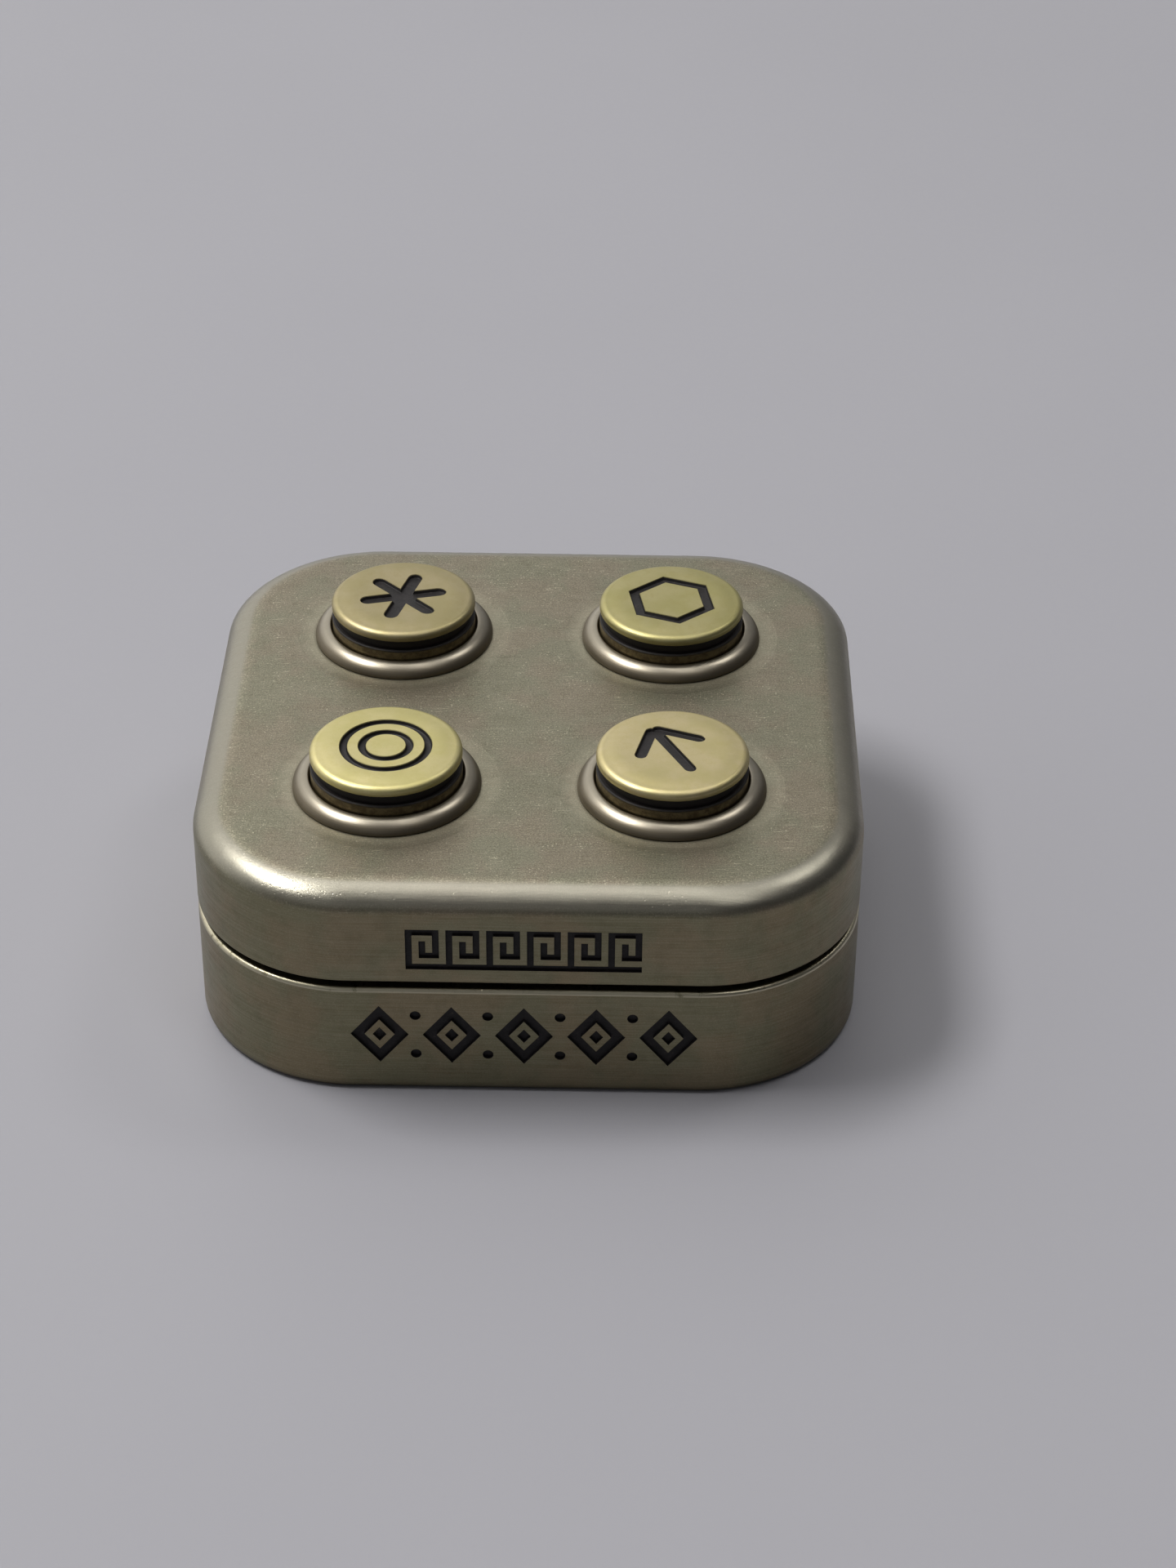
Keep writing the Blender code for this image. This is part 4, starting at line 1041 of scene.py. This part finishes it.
def arrow_sign(name, place, turn, depth):
    """An arrow: two slots that meet at its point, and a shaft between them."""
    half_angle = math.radians(42.0)
    point = Vector((math.cos(turn), math.sin(turn))) * SIGN_REACH
    strokes = []
    for number, (side, share) in enumerate(((-1, 1.3), (0, 2.0), (1, 1.3))):
        angle = turn + side * half_angle
        length = share * SIGN_REACH
        middle = point - Vector((math.cos(angle), math.sin(angle))) * length / 2.0
        size = (length, 0.8 * MM)
        strokes.append(slot_sign(f"{name}_{number}", place, (middle.x, middle.y), size, angle, depth))
    return strokes


SIGNS = {
    "front_left": (rings_sign, 0.0),
    "front_right": (arrow_sign, 118.0),
    "back_left": (star_sign, 14.0),
    "back_right": (hexagon_sign, 10.0),
}


def build_buttons(sizes, tints):
    """The four brass buttons with their engraved signs."""
    for seed, (name, (side_x, side_y)) in enumerate(BUTTON_PLACES.items()):
        place = axis_of(side_x, side_y)
        # Painted light and shade: each button's brass is made lighter or darker as the light falls on it
        tint = tuple(part * factor for part, factor in zip(tints.brass, BRASS_LIGHT_SHARES[name]))
        brass = brass_finish(f"satin_brass_{name}", tint, place, sizes, 7.3 * seed)
        dark = patina_finish(f"sign_patina_{name}", tints.patina)
        button = turn_up(f"brass_button_{name}", place, button_levels(sizes))
        button.data.materials.append(brass)
        make_sign, angle = SIGNS[name]
        for cutter in make_sign(f"sign_{name}", place, math.radians(angle), sizes.sign_depth):
            cutter.data.materials.append(brass)
            cutter.data.materials.append(dark)
            for face in cutter.data.polygons:
                lowest = min(cutter.data.vertices[index].co.z for index in face.vertices)
                face.material_index = 1 if lowest < CAP_TOP - 0.06 * MM else 0
            combine(button, cutter, "DIFFERENCE")
        outwards(button)
        soften(button, 38.0)
        place_piece(button, f"button_{name}", "button", f"button_{name}")


# ---------------------------------------------------------------- inner pieces

def dress(names, finish):
    """Give carried-over pieces of the frame a finish."""
    for name in names:
        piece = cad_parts[name]
        for slot in piece.material_slots:
            slot.material = finish


def numbered(stem, count):
    """The names of like pieces that are told apart by a number."""
    return [f"{stem}_{number}" for number in range(1, count + 1)]


def finish_inner_pieces():
    """Plastic for the tray, tracks and guide; plated metal for the rest."""
    dress(["lower_magnet_tray"], moulded_finish("tray_plastic", (0.030, 0.030, 0.032), 0.55))
    dress(["lower_track_plate"], moulded_finish("lower_track_plastic", (0.040, 0.040, 0.042), 0.42))
    dress(["upper_track_plate"], moulded_finish("upper_track_plastic", (0.040, 0.040, 0.042), 0.42))
    dress(["cross_guide"], moulded_finish("guide_plastic", (0.62, 0.61, 0.57), 0.38))
    dress(["spring_plate"], plated_finish("zinc_plate", (0.56, 0.57, 0.58), 0.34, (0.2, 4.0, 1.0)))
    magnets = numbered("lower_magnet", 9) + numbered("upper_magnet", 9)
    dress(magnets, plated_finish("magnet_plating", (0.70, 0.69, 0.66), 0.16, (1.0, 1.0, 3.0), 0.15))
    screws = numbered("lower_screw", 4) + numbered("upper_screw", 4)
    dress(screws, plated_finish("black_oxide", (0.035, 0.034, 0.034), 0.32, (1.0, 1.0, 6.0), 0.45))
    washers = [f"thrust_washer_{corner}" for corner in BUTTON_PLACES]
    dress(washers, plated_finish("washer_steel", (0.45, 0.44, 0.42), 0.30, (2.0, 2.0, 1.0), 0.3))


def build_springs():
    """The button springs, copied from the frame's springs and carried by the upper half."""
    steel = plated_finish("spring_wire", (0.50, 0.49, 0.46), 0.26, (3.0, 3.0, 1.0), 0.2)
    for corner, (side_x, side_y) in BUTTON_PLACES.items():
        node = f"button_spring_{corner}"
        spring = bpy.data.objects.new(f"coil_spring_{corner}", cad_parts[node].data.copy())
        bpy.context.scene.collection.objects.link(spring)
        spring.data.materials.clear()
        spring.data.materials.append(steel)
        outwards(spring)
        soften(spring, 50.0)
        place_piece(spring, "upper_half", "spring_wire", node)
        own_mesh(spring)


# ---------------------------------------------------------------- stage

def build_floor(tints):
    """A pale table top with a soft far edge."""
    deselect()
    bpy.ops.mesh.primitive_plane_add(size=3.0, location=(0.0, 0.0, 0.0))
    floor = settle(named("table_top"))
    pick(floor, "FACE", lambda face: True)
    bpy.ops.mesh.extrude_region_move(TRANSFORM_OT_translate={"value": (0.0, 0.0, -0.02)})
    bpy.ops.object.mode_set(mode="OBJECT")
    outwards(floor)
    pick(floor, "EDGE", lambda edge: edge.verts[0].co.z > -0.01 and edge.verts[1].co.z > -0.01)
    bpy.ops.mesh.bevel(offset=0.004, segments=4, profile=0.5, affect="EDGES")
    bpy.ops.object.mode_set(mode="OBJECT")
    floor.data.materials.append(floor_finish("pale_table", tints.floor))


def add_lamp(name, place, aim, size, power, tint):
    """A soft box that looks at a point."""
    lamp = bpy.data.lights.new(name, "AREA")
    lamp.shape = "RECTANGLE"
    lamp.size, lamp.size_y = size
    lamp.energy = power
    lamp.color = tint
    held = bpy.data.objects.new(name, lamp)
    bpy.context.collection.objects.link(held)
    held.location = place
    look = Vector(aim) - Vector(place)
    held.rotation_euler = look.to_track_quat("-Z", "Y").to_euler()


def add_room():
    """The room round the table: dim in front on the right, bright behind on the left."""
    world = bpy.context.scene.world or bpy.data.worlds.new("room")
    bpy.context.scene.world = world
    world.use_nodes = True
    tree = world.node_tree
    tree.nodes.clear()
    out = tree.nodes.new("ShaderNodeOutputWorld")
    glow = tree.nodes.new("ShaderNodeBackground")
    ramp = tree.nodes.new("ShaderNodeValToRGB")
    own = tree.nodes.new("ShaderNodeTexCoord")
    along = tree.nodes.new("ShaderNodeVectorMath")
    along.operation = "DOT_PRODUCT"
    along.inputs[1].default_value = Vector(ROOM_AXIS).normalized()
    spread = tree.nodes.new("ShaderNodeMapRange")
    spread.inputs["From Min"].default_value = -1.0
    tree.links.new(own.outputs["Generated"], along.inputs[0])
    tree.links.new(along.outputs["Value"], spread.inputs["Value"])
    tree.links.new(spread.outputs[0], ramp.inputs[0])
    tree.links.new(ramp.outputs[0], glow.inputs["Color"])
    tree.links.new(glow.outputs[0], out.inputs["Surface"])
    Finish.set_stops(ramp.color_ramp, ROOM_STOPS)
    glow.inputs["Strength"].default_value = 1.0


def add_camera():
    """The camera, in front of the slider and above it."""
    lens = bpy.data.cameras.new("camera")
    lens.lens = CAMERA_LENS
    lens.sensor_width = 36.0
    lens.clip_start = 0.01
    held = bpy.data.objects.new("camera", lens)
    bpy.context.collection.objects.link(held)
    yaw, pitch, roll = (math.radians(angle) for angle in CAMERA_ANGLES)
    turn = Matrix.Rotation(-yaw, 4, "Z") @ Matrix.Rotation(math.pi / 2.0 - pitch, 4, "X")
    turn = turn @ Matrix.Rotation(roll, 4, "Z")
    held.matrix_world = Matrix.Translation(Vector(CAMERA_PLACE) * MM) @ turn
    bpy.context.scene.camera = held


def build_stage(tints):
    """The floor, the lights and the camera."""
    build_floor(tints)
    for lamp in LAMPS:
        add_lamp(*lamp)
    add_room()
    add_camera()
    bpy.context.scene.view_settings.view_transform = "Standard"


# ---------------------------------------------------------------- operators and panel

class SLIDER_OT_lower_half(bpy.types.Operator):
    """Build the lower half"""
    bl_idname = "slider.lower_half"
    bl_label = "Lower half"

    def execute(self, context):
        build_lower_half(context.scene.slider_shell, context.scene.slider_colours)
        return {"FINISHED"}


class SLIDER_OT_upper_half(bpy.types.Operator):
    """Build the upper half"""
    bl_idname = "slider.upper_half"
    bl_label = "Upper half"

    def execute(self, context):
        build_upper_half(context.scene.slider_shell, context.scene.slider_colours)
        return {"FINISHED"}


class SLIDER_OT_bezels(bpy.types.Operator):
    """Build the four bezels"""
    bl_idname = "slider.bezels"
    bl_label = "Bezels"

    def execute(self, context):
        build_bezels(context.scene.slider_buttons, context.scene.slider_colours)
        return {"FINISHED"}


class SLIDER_OT_buttons(bpy.types.Operator):
    """Build the four brass buttons"""
    bl_idname = "slider.buttons"
    bl_label = "Buttons"

    def execute(self, context):
        build_buttons(context.scene.slider_buttons, context.scene.slider_colours)
        return {"FINISHED"}


class SLIDER_OT_inner_pieces(bpy.types.Operator):
    """Finish the plates, magnets, screws and washers inside"""
    bl_idname = "slider.inner_pieces"
    bl_label = "Inner pieces"

    def execute(self, context):
        finish_inner_pieces()
        return {"FINISHED"}


class SLIDER_OT_springs(bpy.types.Operator):
    """Add the button springs"""
    bl_idname = "slider.springs"
    bl_label = "Springs"

    def execute(self, context):
        build_springs()
        return {"FINISHED"}


class SLIDER_OT_stage(bpy.types.Operator):
    """Add the floor, the lights and the camera"""
    bl_idname = "slider.stage"
    bl_label = "Stage"

    def execute(self, context):
        build_stage(context.scene.slider_colours)
        return {"FINISHED"}


class SLIDER_PT_panel(bpy.types.Panel):
    """Everything the slider is built with"""
    bl_idname = "SLIDER_PT_panel"
    bl_label = "Push slider"
    bl_space_type = "VIEW_3D"
    bl_region_type = "UI"
    bl_category = "Slider"

    def draw(self, context):
        column = self.layout.column()
        for operator in OPERATORS:
            column.operator(operator.bl_idname)
        for group_name in GROUPS:
            sizes = getattr(context.scene, group_name)
            box = self.layout.box()
            for key in sizes.__annotations__:
                box.prop(sizes, key)


OPERATORS = (
    SLIDER_OT_lower_half,
    SLIDER_OT_upper_half,
    SLIDER_OT_bezels,
    SLIDER_OT_buttons,
    SLIDER_OT_inner_pieces,
    SLIDER_OT_springs,
    SLIDER_OT_stage,
)
GROUPS = {
    "slider_shell": SliderShellSizes,
    "slider_buttons": SliderButtonSizes,
    "slider_colours": SliderColours,
}


def register():
    """Register the size groups, the operators and the panel."""
    for name, group_type in GROUPS.items():
        bpy.utils.register_class(group_type)
        setattr(bpy.types.Scene, name, bpy.props.PointerProperty(type=group_type))
    for operator in OPERATORS:
        bpy.utils.register_class(operator)
    bpy.utils.register_class(SLIDER_PT_panel)


def unregister():
    """Undo register."""
    bpy.utils.unregister_class(SLIDER_PT_panel)
    for operator in reversed(OPERATORS):
        bpy.utils.unregister_class(operator)
    for name, group_type in reversed(GROUPS.items()):
        delattr(bpy.types.Scene, name)
        bpy.utils.unregister_class(group_type)


def main():
    """Build everything in order."""
    register()
    bpy.ops.slider.lower_half()
    bpy.ops.slider.upper_half()
    bpy.ops.slider.bezels()
    bpy.ops.slider.buttons()
    bpy.ops.slider.inner_pieces()
    bpy.ops.slider.springs()
    bpy.ops.slider.stage()


if __name__ == "__main__":
    main()
